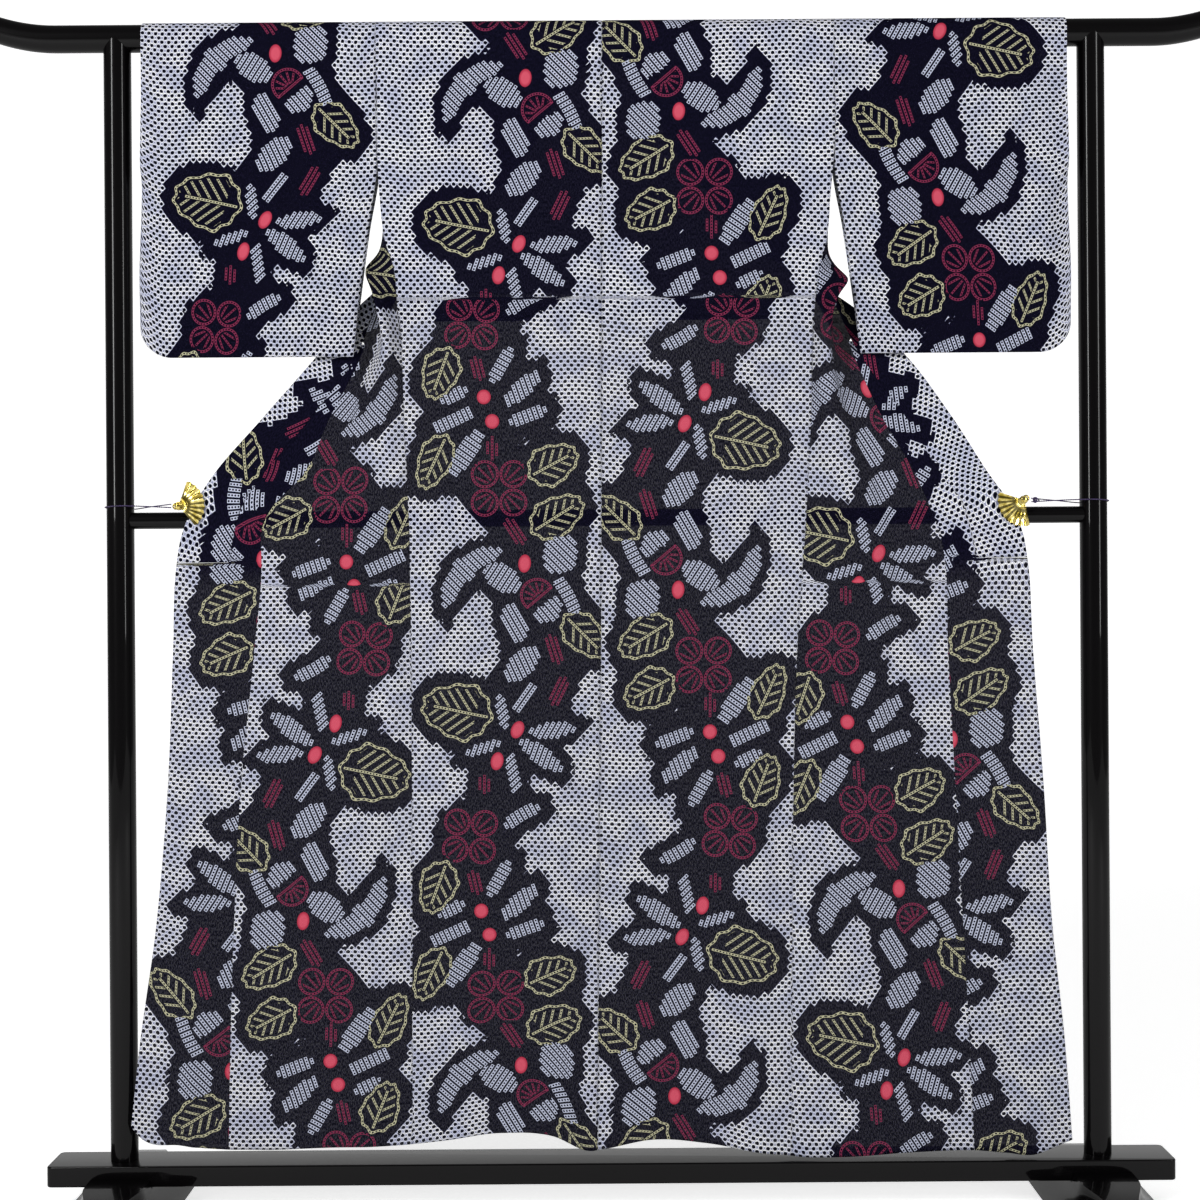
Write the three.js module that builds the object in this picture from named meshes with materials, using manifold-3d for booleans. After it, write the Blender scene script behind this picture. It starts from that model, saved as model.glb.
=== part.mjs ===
// A cotton yukata spread open on a lacquered kimono stand, seen from its back.
// Millimetres, +Z up, origin on the floor under the middle of the stand.
// The back of the garment faces -Y, and X runs along the top rail.
import * as THREE from 'three';
import { mergeVertices } from 'three/addons/utils/BufferGeometryUtils.js';
import Module from 'manifold-3d';

const wasm = await Module();
wasm.setup();

// Driving dimensions of the stand
const RAIL = { radius: 19.5, height: 1683.5, bendStart: 790, halfLength: 925, rise: 35, endRound: 3 };
const POST = { radius: 19.5, x: 703 };
const MID_RAIL = { radius: 12, height: 987 };
const BEAM = { halfLength: 806, depth: 73, bottom: 35.5, top: 65, corner: 8, bevel: 2 };
const FOOT = { x: 700, sideSteps: 4, flare: 1.3 };
const GAP = 0.3;

// Driving dimensions of the cloth
const WALL = 1.6;
const RAIL_CLEARANCE = 0.9;
const FOLD_RADIUS = RAIL.radius + RAIL_CLEARANCE + WALL / 2;
const QUARTER = (FOLD_RADIUS * Math.PI) / 2;
const SHOULDER_CUT = 245;
const FRONT_CUT = 270;
const COLLAR_CUT = 60;
const COLLAR_END = 925;
const OKUMI_TOP = 1240;
const ARMHOLE_END = 1508;
const SIDE_SEAM_TOP = 1370;
const HEM_START = 400;
const HEM_ROW = 80;

// Driving dimensions of the clips and their cords
const CLIP = { left: 613, right: 597, leftTilt: 10, rightTilt: -42, height: 1007, fanY: -25.6, plate: 1.2 };
const FAN = { radius: 38, hub: 13, hubRise: 1.2, spread: 120, pleats: 9, pleatDepth: 1.5, inner: 1.5 };
const JAW = { length: 40, width: 12, thickness: 1.2, middle: 15, slack: 1 };
const HINGE = { radius: 4.5, x: -1, past: 1.5, eyeRadius: 5, eyeX: -4, eyeY: 0.5 };
const CORD = { radius: 1, sides: 6, steps: 34, ease: 0.8, start: 9.6, spread: 2.5, y: -24.6, knot: 5 };

// Each front, by height: how far its lines lie from the middle of the stand (side edge,
// overlap seam, collar seam, free edge), the depth of the free edge, and the fold depth.
const LEFT_ROWS = [
  { z: 1705, side: 327, okumi: 82, collar: 82, edge: 20, depth: 21, fold: 0 },
  { z: 1665, side: 327, okumi: 97, collar: 97, edge: 30, depth: 21, fold: 0 },
  { z: 1640, side: 327, okumi: 112, collar: 112, edge: 36, depth: 21, fold: 0 },
  { z: 1600, side: 327, okumi: 138, collar: 138, edge: 66, depth: 22, fold: 6 },
  { z: 1520, side: 326, okumi: 190, collar: 190, edge: 112, depth: 24, fold: 18 },
  { z: 1450, side: 323, okumi: 240, collar: 240, edge: 176, depth: 25, fold: 28 },
  { z: 1380, side: 314, okumi: 286, collar: 286, edge: 250, depth: 25, fold: 40 },
  { z: 1350, side: 304, okumi: 306, collar: 306, edge: 296, depth: 23, fold: 44 },
  { z: 1296, side: 299, okumi: 334, collar: 334, edge: 360, depth: 15, fold: 42 },
  { z: 1229, side: 293, okumi: 352, collar: 358, edge: 414, depth: 5, fold: 26 },
  { z: 1130, side: 290, okumi: 400, collar: 428, edge: 498, depth: -9, fold: 15 },
  { z: 1045, side: 286, okumi: 440, collar: 497, edge: 568, depth: -22, fold: 9 },
  { z: 1007, side: 285, okumi: 478, collar: 522, edge: 592, depth: -22, fold: 7 },
  { z: 960, side: 283, okumi: 497, collar: 536, edge: 611, depth: -22, fold: 7 },
  { z: 925, side: 283, okumi: 496, collar: 542, edge: 617, depth: -22, fold: 7 },
  { z: 800, side: 282, okumi: 507, collar: 552, edge: 623, depth: -22, fold: 6 },
  { z: 600, side: 282, okumi: 528, collar: 563, edge: 632, depth: -23, fold: 6 },
  { z: 400, side: 283, okumi: 539, collar: 580, edge: 650, depth: -24, fold: 7 },
  { z: 240, side: 284, okumi: 545, collar: 600, edge: 672, depth: -24, fold: 8 },
  { z: 60, side: 284, okumi: 549, collar: 610, edge: 689, depth: -24, fold: 9 },
];
const RIGHT_ROWS = [
  { z: 1705, side: 331, okumi: 82, collar: 82, edge: 20, depth: 21, fold: 0 },
  { z: 1665, side: 331, okumi: 97, collar: 97, edge: 30, depth: 21, fold: 0 },
  { z: 1640, side: 331, okumi: 112, collar: 112, edge: 36, depth: 21, fold: 0 },
  { z: 1600, side: 331, okumi: 136, collar: 136, edge: 62, depth: 22, fold: 6 },
  { z: 1520, side: 330, okumi: 182, collar: 182, edge: 104, depth: 24, fold: 18 },
  { z: 1450, side: 324, okumi: 228, collar: 228, edge: 160, depth: 25, fold: 28 },
  { z: 1380, side: 317, okumi: 266, collar: 266, edge: 215, depth: 25, fold: 40 },
  { z: 1350, side: 309, okumi: 298, collar: 298, edge: 268, depth: 23, fold: 44 },
  { z: 1296, side: 301, okumi: 332, collar: 332, edge: 354, depth: 15, fold: 40 },
  { z: 1229, side: 297, okumi: 355, collar: 362, edge: 425, depth: 4, fold: 24 },
  { z: 1130, side: 294, okumi: 397, collar: 430, edge: 497, depth: -9, fold: 15 },
  { z: 1045, side: 289, okumi: 443, collar: 480, edge: 548, depth: -22, fold: 9 },
  { z: 1007, side: 287, okumi: 460, collar: 508, edge: 575, depth: -22, fold: 7 },
  { z: 960, side: 284, okumi: 478, collar: 522, edge: 596, depth: -22, fold: 7 },
  { z: 925, side: 281, okumi: 484, collar: 530, edge: 602, depth: -22, fold: 7 },
  { z: 800, side: 272, okumi: 488, collar: 535, edge: 609, depth: -22, fold: 6 },
  { z: 600, side: 265, okumi: 497, collar: 548, edge: 623, depth: -23, fold: 6 },
  { z: 400, side: 262, okumi: 507, collar: 565, edge: 634, depth: -23, fold: 7 },
  { z: 240, side: 260, okumi: 515, collar: 580, edge: 650, depth: -23, fold: 8 },
  { z: 60, side: 259, okumi: 522, collar: 590, edge: 662, depth: -23, fold: 9 },
];

// Cut width of the overlap panel at each height, and where the centre back seam runs
const OKUMI_CUT = [
  { z: 1240, cut: 6 },
  { z: 1130, cut: 40 },
  { z: 1045, cut: 60 },
  { z: 1007, cut: 75 },
  { z: 925, cut: 84 },
  { z: 60, cut: 84 },
];
const CENTRE = [
  { z: 1705, x: -2 },
  { z: 868, x: -9 },
  { z: 60, x: -20 },
];

// The hem's height along X, from the left corner to the right one
const HEM = [
  { x: -689, z: 120 },
  { x: -675, z: 104 },
  { x: -618, z: 91 },
  { x: -503, z: 82 },
  { x: -388, z: 88 },
  { x: -284, z: 90 },
  { x: -156, z: 105 },
  { x: -83, z: 101 },
  { x: -30, z: 78 },
  { x: -8, z: 82 },
  { x: 63, z: 95 },
  { x: 136, z: 89 },
  { x: 246, z: 71 },
  { x: 282, z: 68.5 },
  { x: 409, z: 73 },
  { x: 523, z: 75 },
  { x: 600, z: 69 },
  { x: 636, z: 80 },
  { x: 662, z: 91 },
];

// Each sleeve, by height: inner and outer edge, middle depth and half the hollow between layers
const SLEEVE_ROWS = [
  { z: 1705, inner: 0, outer: 664, middle: 0, half: FOLD_RADIUS },
  { z: 1683.5, inner: 0, outer: 664, middle: 0, half: FOLD_RADIUS },
  { z: 1600, inner: 0, outer: 664, middle: -2, half: 19 },
  { z: 1508, inner: 0, outer: 666, middle: -4, half: 16.5 },
  { z: 1400, inner: 15, outer: 668, middle: -6.5, half: 12 },
  { z: 1300, inner: 28, outer: 671, middle: -8, half: 7 },
  { z: 1221, inner: 38, outer: 670, middle: -9, half: 3.5 },
];
const SLEEVE = { bottom: 1221, cuffEnd: 1473, corner: 45, seamHalf: WALL / 2 + GAP / 2, closeBand: 40 };

// Each foot along its length: half width on the floor, half width on top, and height
const FOOT_ROWS = [
  { y: 0, base: 80, top: 42, height: 47 },
  { y: 70, base: 80, top: 42, height: 46 },
  { y: 130, base: 74, top: 24, height: 38 },
  { y: 180, base: 60, top: 13, height: 23 },
  { y: 210, base: 42, top: 8, height: 11 },
];

const lerp = THREE.MathUtils.lerp;
const smoothstep = THREE.MathUtils.smoothstep;

// A table's column at a place, along a smooth curve through the rows that keeps their turns
function at(rows, column, place, key = 'z') {
  const list = rows[0][key] < rows[rows.length - 1][key] ? rows : [...rows].reverse();
  const last = list.length - 1;
  const where = Math.min(Math.max(place, list[0][key]), list[last][key]);
  let i = 0;
  while (i < last - 1 && where > list[i + 1][key]) i += 1;
  const step = (k) => list[k + 1][key] - list[k][key];
  const rise = (k) => (list[k + 1][column] - list[k][column]) / step(k);
  const slope = (k) => {
    if (k === 0) return rise(0);
    if (k === last) return rise(last - 1);
    if (rise(k - 1) * rise(k) <= 0) return 0;
    return (rise(k - 1) * step(k) + rise(k) * step(k - 1)) / (step(k) + step(k - 1));
  };
  const h = step(i);
  const t = (where - list[i][key]) / h;
  const a = list[i][column];
  const b = list[i + 1][column];
  return a * (1 + 2 * t) * (1 - t) ** 2 + b * t * t * (3 - 2 * t)
    + h * (slope(i) * t * (1 - t) ** 2 + slope(i + 1) * t * t * (t - 1));
}

// Cloth that lies over the rail: the way down from the top of the fold gives the height,
// and how much of its depth it has reached there
function hang(down) {
  if (down >= QUARTER) return { z: RAIL.height + QUARTER - down, reach: 1 };
  const angle = down / FOLD_RADIUS;
  return { z: RAIL.height + FOLD_RADIUS * Math.cos(angle), reach: Math.sin(angle) };
}
const downTo = (z) => QUARTER + RAIL.height - z;

// Near the hem every row bends a little towards the scalloped edge
function hemmed(z, x) {
  if (z >= HEM_START) return z;
  const share = (HEM_START - z) / (HEM_START - HEM_ROW);
  return HEM_START - share * (HEM_START - at(HEM, 'z', x, 'x'));
}

function geometryOf(positions, triangles) {
  const geometry = new THREE.BufferGeometry();
  geometry.setAttribute('position', new THREE.Float32BufferAttribute(positions, 3));
  geometry.setIndex(triangles);
  geometry.computeVertexNormals();
  return geometry;
}

// A closed wall of even thickness on a surface, from a grid of parameter pairs
function clothWall(surface, grid, thickness = WALL) {
  const rows = grid.length;
  const columns = grid[0].length;
  const positions = [];
  const stepA = 0.004;
  const stepB = 0.5;
  for (const side of [1, -1]) {
    for (const row of grid) {
      for (const [a, b] of row) {
        const point = surface(a, b);
        const along = surface(a + stepA, b).sub(surface(a - stepA, b));
        const down = surface(a, b + stepB).sub(surface(a, b - stepB));
        const normal = along.cross(down).normalize();
        point.addScaledVector(normal, (side * thickness) / 2);
        positions.push(point.x, point.y, point.z);
      }
    }
  }
  const count = rows * columns;
  const index = (i, j, layer) => layer * count + i * columns + j;
  const triangles = [];
  const quad = (a, b, c, d) => triangles.push(a, b, c, a, c, d);
  for (let i = 0; i < rows - 1; i += 1) {
    for (let j = 0; j < columns - 1; j += 1) {
      quad(index(i, j, 0), index(i, j + 1, 0), index(i + 1, j + 1, 0), index(i + 1, j, 0));
      quad(index(i, j, 1), index(i + 1, j, 1), index(i + 1, j + 1, 1), index(i, j + 1, 1));
    }
  }
  const rim = [];
  for (let j = 0; j < columns - 1; j += 1) rim.push([0, j]);
  for (let i = 0; i < rows - 1; i += 1) rim.push([i, columns - 1]);
  for (let j = columns - 1; j > 0; j -= 1) rim.push([rows - 1, j]);
  for (let i = rows - 1; i > 0; i -= 1) rim.push([i, 0]);
  rim.forEach(([i, j], k) => {
    const [m, n] = rim[(k + 1) % rim.length];
    quad(index(i, j, 0), index(i, j, 1), index(m, n, 1), index(m, n, 0));
  });
  const geometry = geometryOf(positions, triangles);
  return signedVolume(geometry) < 0 ? flipped(geometry) : geometry;
}

function signedVolume(geometry) {
  const p = geometry.attributes.position;
  const index = geometry.index;
  const [a, b, c] = [new THREE.Vector3(), new THREE.Vector3(), new THREE.Vector3()];
  let volume = 0;
  for (let k = 0; k < index.count; k += 3) {
    a.fromBufferAttribute(p, index.getX(k));
    b.fromBufferAttribute(p, index.getX(k + 1));
    c.fromBufferAttribute(p, index.getX(k + 2));
    volume += a.dot(b.cross(c)) / 6;
  }
  return volume;
}

function flipped(geometry) {
  const index = Array.from(geometry.index.array);
  for (let k = 0; k < index.length; k += 3) [index[k], index[k + 1]] = [index[k + 1], index[k]];
  geometry.setIndex(index);
  geometry.computeVertexNormals();
  return geometry;
}

// A closed solid through rings of points, with flat ends
function loft(rings) {
  const n = rings[0].length;
  const positions = rings.flat().flatMap((point) => [point.x, point.y, point.z]);
  const triangles = [];
  for (let i = 0; i < rings.length - 1; i += 1) {
    for (let j = 0; j < n; j += 1) {
      const k = (j + 1) % n;
      const [a, b, c, d] = [i * n + j, i * n + k, (i + 1) * n + k, (i + 1) * n + j];
      triangles.push(a, b, c, a, c, d);
    }
  }
  const end = (rings.length - 1) * n;
  for (let j = 1; j < n - 1; j += 1) {
    triangles.push(0, j + 1, j);
    triangles.push(end, end + j, end + j + 1);
  }
  const geometry = geometryOf(positions, triangles);
  return signedVolume(geometry) < 0 ? flipped(geometry) : geometry;
}

// Solids for joining and cutting
function solid(geometry) {
  const bare = new THREE.BufferGeometry();
  bare.setAttribute('position', geometry.attributes.position);
  if (geometry.index) bare.setIndex(geometry.index);
  const merged = mergeVertices(bare, 1e-4);
  return new wasm.Manifold(new wasm.Mesh({
    numProp: 3,
    vertProperties: new Float32Array(merged.attributes.position.array),
    triVerts: new Uint32Array(merged.index.array),
  }));
}

function geometryFrom(manifold) {
  const mesh = manifold.getMesh();
  return geometryOf(Array.from(mesh.vertProperties), Array.from(mesh.triVerts));
}

// Materials
const lacquer = new THREE.MeshStandardMaterial({ color: '#0b0a0c', roughness: 0.12, metalness: 0 });
const cotton = new THREE.MeshStandardMaterial({ color: '#55566b', roughness: 0.9, metalness: 0 });
const brass = new THREE.MeshStandardMaterial({ color: '#b8923c', roughness: 0.28, metalness: 1 });
const silk = new THREE.MeshStandardMaterial({ color: '#3b2358', roughness: 0.6, metalness: 0 });

const yukata = new THREE.Group();
function add(name, geometry, material) {
  const mesh = new THREE.Mesh(geometry, material);
  mesh.name = name;
  yukata.add(mesh);
}

// The top rail, straight between the posts, with its ends swept up
const railLift = (x) => {
  const past = Math.max(Math.abs(x) - RAIL.bendStart, 0) / (RAIL.halfLength - RAIL.bendStart);
  return RAIL.rise * past * past;
};
function topRail() {
  const sides = 24;
  const half = [0, 0.2, 0.4, 0.6, 0.8, 0.94].map((share) => lerp(RAIL.bendStart, RAIL.halfLength, share));
  const stations = [...half, RAIL.halfLength - 1, RAIL.halfLength];
  const xs = [...stations.map((x) => -x).reverse(), ...stations];
  const rings = xs.map((x) => {
    const inset = Math.max(Math.abs(x) - (RAIL.halfLength - RAIL.endRound), 0);
    const radius = RAIL.radius - (inset * inset) / RAIL.endRound;
    return Array.from({ length: sides }, (_, k) => {
      const angle = (2 * Math.PI * k) / sides;
      const up = RAIL.height + railLift(x) + radius * Math.sin(angle);
      return new THREE.Vector3(x, radius * Math.cos(angle), up);
    });
  });
  return loft(rings);
}

function bar(radius, length, sides, axis) {
  const geometry = new THREE.CylinderGeometry(radius, radius, length, sides);
  if (axis === 'x') geometry.rotateZ(Math.PI / 2);
  if (axis === 'z') geometry.rotateX(Math.PI / 2);
  return geometry;
}

// A post stands on the beam, and its top is hollowed to take the rail
function post(sign) {
  const foot = BEAM.top + GAP;
  const length = RAIL.height - foot;
  const shaft = bar(POST.radius, length, 32, 'z').translate(sign * POST.x, 0, foot + length / 2);
  const seat = bar(RAIL.radius + GAP, 4 * RAIL.radius, 48, 'x').translate(sign * POST.x, 0, RAIL.height);
  return geometryFrom(solid(shaft).subtract(solid(seat)));
}

// The middle rail runs between the posts, its ends hollowed to fit them
function midRail() {
  let rail = solid(bar(MID_RAIL.radius, 2 * POST.x, 24, 'x').translate(0, 0, MID_RAIL.height));
  for (const sign of [-1, 1]) {
    const seat = bar(POST.radius + GAP, 6 * MID_RAIL.radius, 48, 'z');
    seat.translate(sign * POST.x, 0, MID_RAIL.height);
    rail = rail.subtract(solid(seat));
  }
  return geometryFrom(rail);
}

// The beam is a flat board with rounded corners
function baseBeam() {
  const x = BEAM.halfLength - BEAM.bevel;
  const y = BEAM.depth / 2 - BEAM.bevel;
  const r = BEAM.corner - BEAM.bevel;
  const plan = new THREE.Shape();
  plan.moveTo(-x + r, -y);
  plan.lineTo(x - r, -y);
  plan.absarc(x - r, -y + r, r, -Math.PI / 2, 0);
  plan.lineTo(x, y - r);
  plan.absarc(x - r, y - r, r, 0, Math.PI / 2);
  plan.lineTo(-x + r, y);
  plan.absarc(-x + r, y - r, r, Math.PI / 2, Math.PI);
  plan.lineTo(-x, -y + r);
  plan.absarc(-x + r, -y + r, r, Math.PI, 1.5 * Math.PI);
  const thickness = BEAM.top - BEAM.bottom;
  const board = new THREE.ExtrudeGeometry(plan, {
    depth: thickness - 2 * BEAM.bevel,
    bevelThickness: BEAM.bevel,
    bevelSize: BEAM.bevel,
    bevelSegments: 2,
    curveSegments: 4,
  });
  return board.translate(0, 0, BEAM.bottom + BEAM.bevel);
}

// A foot crosses under the beam: wide on the floor, hollow-sided, with a notch for the beam
function foot(sign) {
  const rows = [...FOOT_ROWS].reverse().map((row) => ({ ...row, y: -row.y }));
  const stations = [...rows, ...FOOT_ROWS.slice(1)];
  const rings = stations.map(({ y, base, top, height }) => {
    const half = Array.from({ length: FOOT.sideSteps + 1 }, (_, k) => {
      const share = k / FOOT.sideSteps;
      return { x: lerp(base, top, 1 - (1 - share) ** 2), z: height * share ** FOOT.flare };
    });
    const right = half.map((p) => new THREE.Vector3(sign * FOOT.x + p.x, y, p.z));
    const left = [...half].reverse().map((p) => new THREE.Vector3(sign * FOOT.x - p.x, y, p.z));
    return [...right, ...left];
  });
  const notchTop = BEAM.top;
  const notch = new THREE.BoxGeometry(BEAM.halfLength, BEAM.depth + 2 * GAP, notchTop);
  notch.translate(sign * FOOT.x, 0, BEAM.bottom - GAP + notchTop / 2);
  return geometryFrom(solid(loft(rings)).subtract(solid(notch)));
}

// The front's side edge lies on the sleeve's back layer down to the armhole's end,
// then comes forward to the side seam
function sideDepth(z) {
  const behind = at(SLEEVE_ROWS, 'middle', z) + at(SLEEVE_ROWS, 'half', z);
  const forward = smoothstep(ARMHOLE_END - z, 0, ARMHOLE_END - SIDE_SEAM_TOP);
  return lerp(behind, -FOLD_RADIUS, forward);
}

// Shares of the cut width at the overlap seam and at the collar seam
function cutShares(z) {
  const front = lerp(FRONT_CUT, SHOULDER_CUT, smoothstep(z, 1500, 1700));
  const okumi = z > OKUMI_TOP ? 0 : at(OKUMI_CUT, 'cut', z);
  const whole = front + okumi + COLLAR_CUT;
  return [0, front / whole, (front + okumi) / whole, 1];
}

// One whole front across: 0 to 1 is the front panel, 1 to 2 the overlap, 2 to 3 the collar.
// The cloth follows the lines of its table, and its slack waves to both sides of the
// straight line from the side edge to the free edge.
function frontSurface(sign, rows) {
  const plain = (across, down) => {
    const { z, reach } = hang(down);
    const lines = ['side', 'okumi', 'collar', 'edge'].map((line) => at(rows, line, z));
    if (z > OKUMI_TOP) lines[1] = lines[2];
    const shares = cutShares(z);
    const piece = Math.min(Math.max(Math.floor(across), 0), 2);
    const x = lerp(lines[piece], lines[piece + 1], across - piece);
    const share = lerp(shares[piece], shares[piece + 1], across - piece);
    const from = sideDepth(z);
    const to = at(rows, 'depth', z);
    const y = lerp(from, to, share);
    const wave = Math.min(Math.max(share / 0.86, 0), 1);
    const swing = at(rows, 'fold', z) * Math.sin(2 * Math.PI * wave) * (1 - wave * wave);
    const length = Math.hypot(lines[3] - lines[0], to - from);
    return {
      x: x + (swing * (to - from)) / length,
      y: y - (swing * (lines[3] - lines[0])) / length,
      z,
      reach,
    };
  };
  return (across, down) => {
    const here = plain(across, down);
    const start = plain(0.01, down);
    const next = plain(0.03, down);
    const turn = Math.abs(next.y - start.y) / Math.hypot(next.x - start.x, next.y - start.y);
    const away = 1 - 2 * smoothstep(here.z, SIDE_SEAM_TOP + 10, SIDE_SEAM_TOP + 70);
    const clear = Math.min(Math.max(1 - across, 0), 1) * away * (WALL / 2) * turn;
    const x = sign * (here.x + clear);
    return new THREE.Vector3(x, here.reach * here.y, hemmed(here.z, x));
  };
}

// A place across a front, moved off its seam by half the gap, and by what the wall's
// thickness needs where the cloth turns at the seam
function seamPlace(surface, across, down, direction) {
  const step = 0.01;
  const on = surface(across, down);
  const inside = surface(across + direction * step, down).sub(on);
  let inset = GAP / 2;
  if (across > 0) {
    const joined = hang(down).z > OKUMI_TOP;
    const beyond = joined ? 3 - across : across;
    const outside = surface(beyond - direction * step, down).sub(surface(beyond, down));
    inset += (WALL / 2) * Math.tan((Math.PI - inside.angleTo(outside)) / 2);
  }
  return across + (direction * inset * step) / inside.length();
}

const ARC_DOWN = [GAP / 2, 0.25 * QUARTER, 0.5 * QUARTER, 0.75 * QUARTER, QUARTER];
const FRONT_HEIGHTS = [1665, 1640, 1600, 1560, 1520, 1485, 1450, 1415, 1380, 1350, 1323, 1296, 1262,
  OKUMI_TOP, 1200, 1165, 1130, 1085, 1045, 1007, 960, 925, 800, 600, HEM_START, 280, 170, HEM_ROW];

function frontPanel(surface) {
  const columns = 10;
  const downs = [...ARC_DOWN, ...FRONT_HEIGHTS.map(downTo)];
  const grid = downs.map((down) => {
    const from = seamPlace(surface, 0, down, 1);
    const to = seamPlace(surface, 1, down, -1);
    return Array.from({ length: columns + 1 }, (_, k) => [lerp(from, to, k / columns), down]);
  });
  return clothWall(surface, grid);
}

// Above the collar's end the overlap reaches to the collar seam, below it to the free edge
function okumiPanel(surface) {
  const columns = 5;
  const upper = FRONT_HEIGHTS.filter((z) => z <= OKUMI_TOP && z > COLLAR_END);
  const lower = FRONT_HEIGHTS.filter((z) => z < COLLAR_END);
  const row = (z, end) => {
    const down = downTo(z);
    const from = seamPlace(surface, 1, down, 1);
    const to = end === 3 ? 3 : seamPlace(surface, 2, down, -1);
    return Array.from({ length: columns + 1 }, (_, k) => [lerp(from, to, k / columns), down]);
  };
  const grid = [
    ...upper.map((z) => row(z, 2)),
    row(COLLAR_END + GAP, 2),
    row(COLLAR_END - GAP, 3),
    ...lower.map((z) => row(z, 3)),
  ];
  return clothWall(surface, grid);
}

// The collar is one band: up one front, round behind the neck on the rail, and down the other.
// Behind the neck its seam follows the neckline, and its free edge hangs below.
const NECK = [
  { down: downTo(1665), edgeX: 29, edgeDown: 72 },
  { down: QUARTER, edgeX: 25, edgeDown: 70.5 },
  { down: 0.75 * QUARTER, edgeX: 21, edgeDown: 69 },
  { down: 0.5 * QUARTER, edgeX: 17, edgeDown: 68 },
  { down: 0.25 * QUARTER, edgeX: 13, edgeDown: 67 },
  { down: GAP / 2, edgeX: 10, edgeDown: 66 },
];
function collarBand(surfaces, tables) {
  const shares = [0, 0.06, 0.13, 0.21, 0.31, 0.43, 0.6, 0.8, 1];
  const columns = shares.length - 1;
  const heights = FRONT_HEIGHTS.filter((z) => z > COLLAR_END && z <= 1640).reverse();
  const neckPoint = (x, down) => {
    const { z, reach } = hang(down);
    return new THREE.Vector3(x, reach * FOLD_RADIUS, z);
  };
  const neckRow = (seamX, seamDown, edgeX, edgeDown) =>
    shares.map((share) => neckPoint(lerp(seamX, edgeX, share), lerp(seamDown, edgeDown, share)));
  const side = (surface, rows, sign) => {
    const diagonal = [COLLAR_END + 2 * GAP, ...heights].map((z) => {
      const down = downTo(z);
      const from = seamPlace(surface, 2, down, 1);
      return shares.map((share) => surface(lerp(from, 3, share), down));
    });
    const neck = NECK.map(({ down, edgeX, edgeDown }) => {
      const seamX = at(rows, 'collar', hang(down).z) - 1.5 * GAP;
      return neckRow(sign * seamX, down, sign * edgeX, edgeDown);
    });
    return [...diagonal, ...neck, neckRow(sign * 40, GAP / 2, sign * 5, 65.5)];
  };
  const leftSide = side(surfaces[0], tables[0], -1);
  const rightSide = side(surfaces[1], tables[1], 1).reverse();
  const points = [...leftSide, neckRow(0, GAP / 2, 0, 65), ...rightSide];
  const clampTo = (value, top) => Math.min(Math.max(value, 0), top);
  const sheet = (a, b) => {
    const i = clampTo(Math.floor(a), points.length - 2);
    const j = clampTo(Math.floor(b), columns - 1);
    const near = points[i][j].clone().lerp(points[i + 1][j], clampTo(a, points.length - 1) - i);
    const far = points[i][j + 1].clone().lerp(points[i + 1][j + 1], clampTo(a, points.length - 1) - i);
    return near.lerp(far, clampTo(b, columns) - j);
  };
  return clothWall(sheet, points.map((row, i) => row.map((_, j) => [i, j])));
}

// A back panel hangs from the top of the rail, between the centre seam and the side
function backPanel(sign, rows) {
  const columns = 6;
  const surface = (across, down) => {
    const { z, reach } = hang(down);
    const x = lerp(at(CENTRE, 'x', z) + (sign * GAP) / 2, sign * (at(rows, 'side', z) - GAP / 2), across);
    const flute = 5 * smoothstep(1400 - z, 0, 1100) * Math.sin(2 * Math.PI * across) ** 2;
    return new THREE.Vector3(x, -reach * (FOLD_RADIUS + flute), hemmed(z, x));
  };
  const grid = [...ARC_DOWN, ...FRONT_HEIGHTS.map(downTo)].map((down) =>
    Array.from({ length: columns + 1 }, (_, k) => [k / columns, down]));
  return clothWall(surface, grid);
}

// A sleeve is one length folded over the rail. Its layers meet at the bottom, and at the
// outer edge below the cuff opening; the edge towards the body stays open below the armhole.
function sleeve(sign, rows) {
  const places = [0, 0.2, 0.4, 0.6, 0.78, 0.88, 0.94, 0.98, 1];
  const heights = [1640, 1600, 1550, ARMHOLE_END, SLEEVE.cuffEnd, 1420, 1350, 1290, 1250, SLEEVE.bottom];
  const arc = ARC_DOWN.slice(1);
  const oneSide = [...arc, ...heights.map(downTo)];
  const surface = (across, way) => {
    const down = Math.abs(way);
    const { z, reach } = hang(down);
    const body = at(rows, 'side', Math.max(z, ARMHOLE_END));
    const inner = body + GAP / 2 + at(SLEEVE_ROWS, 'inner', z);
    const outer = at(SLEEVE_ROWS, 'outer', z);
    const x = lerp(inner, outer, across);
    const past = Math.max(x - (outer - SLEEVE.corner), 0);
    const lift = SLEEVE.corner - Math.sqrt(Math.max(SLEEVE.corner ** 2 - past ** 2, 0));
    const share = Math.max(RAIL.height - z, 0) / (RAIL.height - SLEEVE.bottom);
    const nearEdge = smoothstep(x - (outer - SLEEVE.closeBand), 0, SLEEVE.closeBand);
    const sewn = smoothstep(SLEEVE.cuffEnd - z, -10, 30) * nearEdge;
    const closed = Math.max(sewn, smoothstep(share, 0.94, 1));
    const half = lerp(at(SLEEVE_ROWS, 'half', z), SLEEVE.seamHalf, closed);
    const y = at(SLEEVE_ROWS, 'middle', z) + Math.sign(way) * half;
    return new THREE.Vector3(sign * x, reach * y, z + lift * share);
  };
  const ways = [...oneSide.map((d) => -d).reverse(), 0, ...oneSide];
  const grid = ways.map((way) => places.map((place) => [place, way]));
  return clothWall(surface, grid);
}

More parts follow.
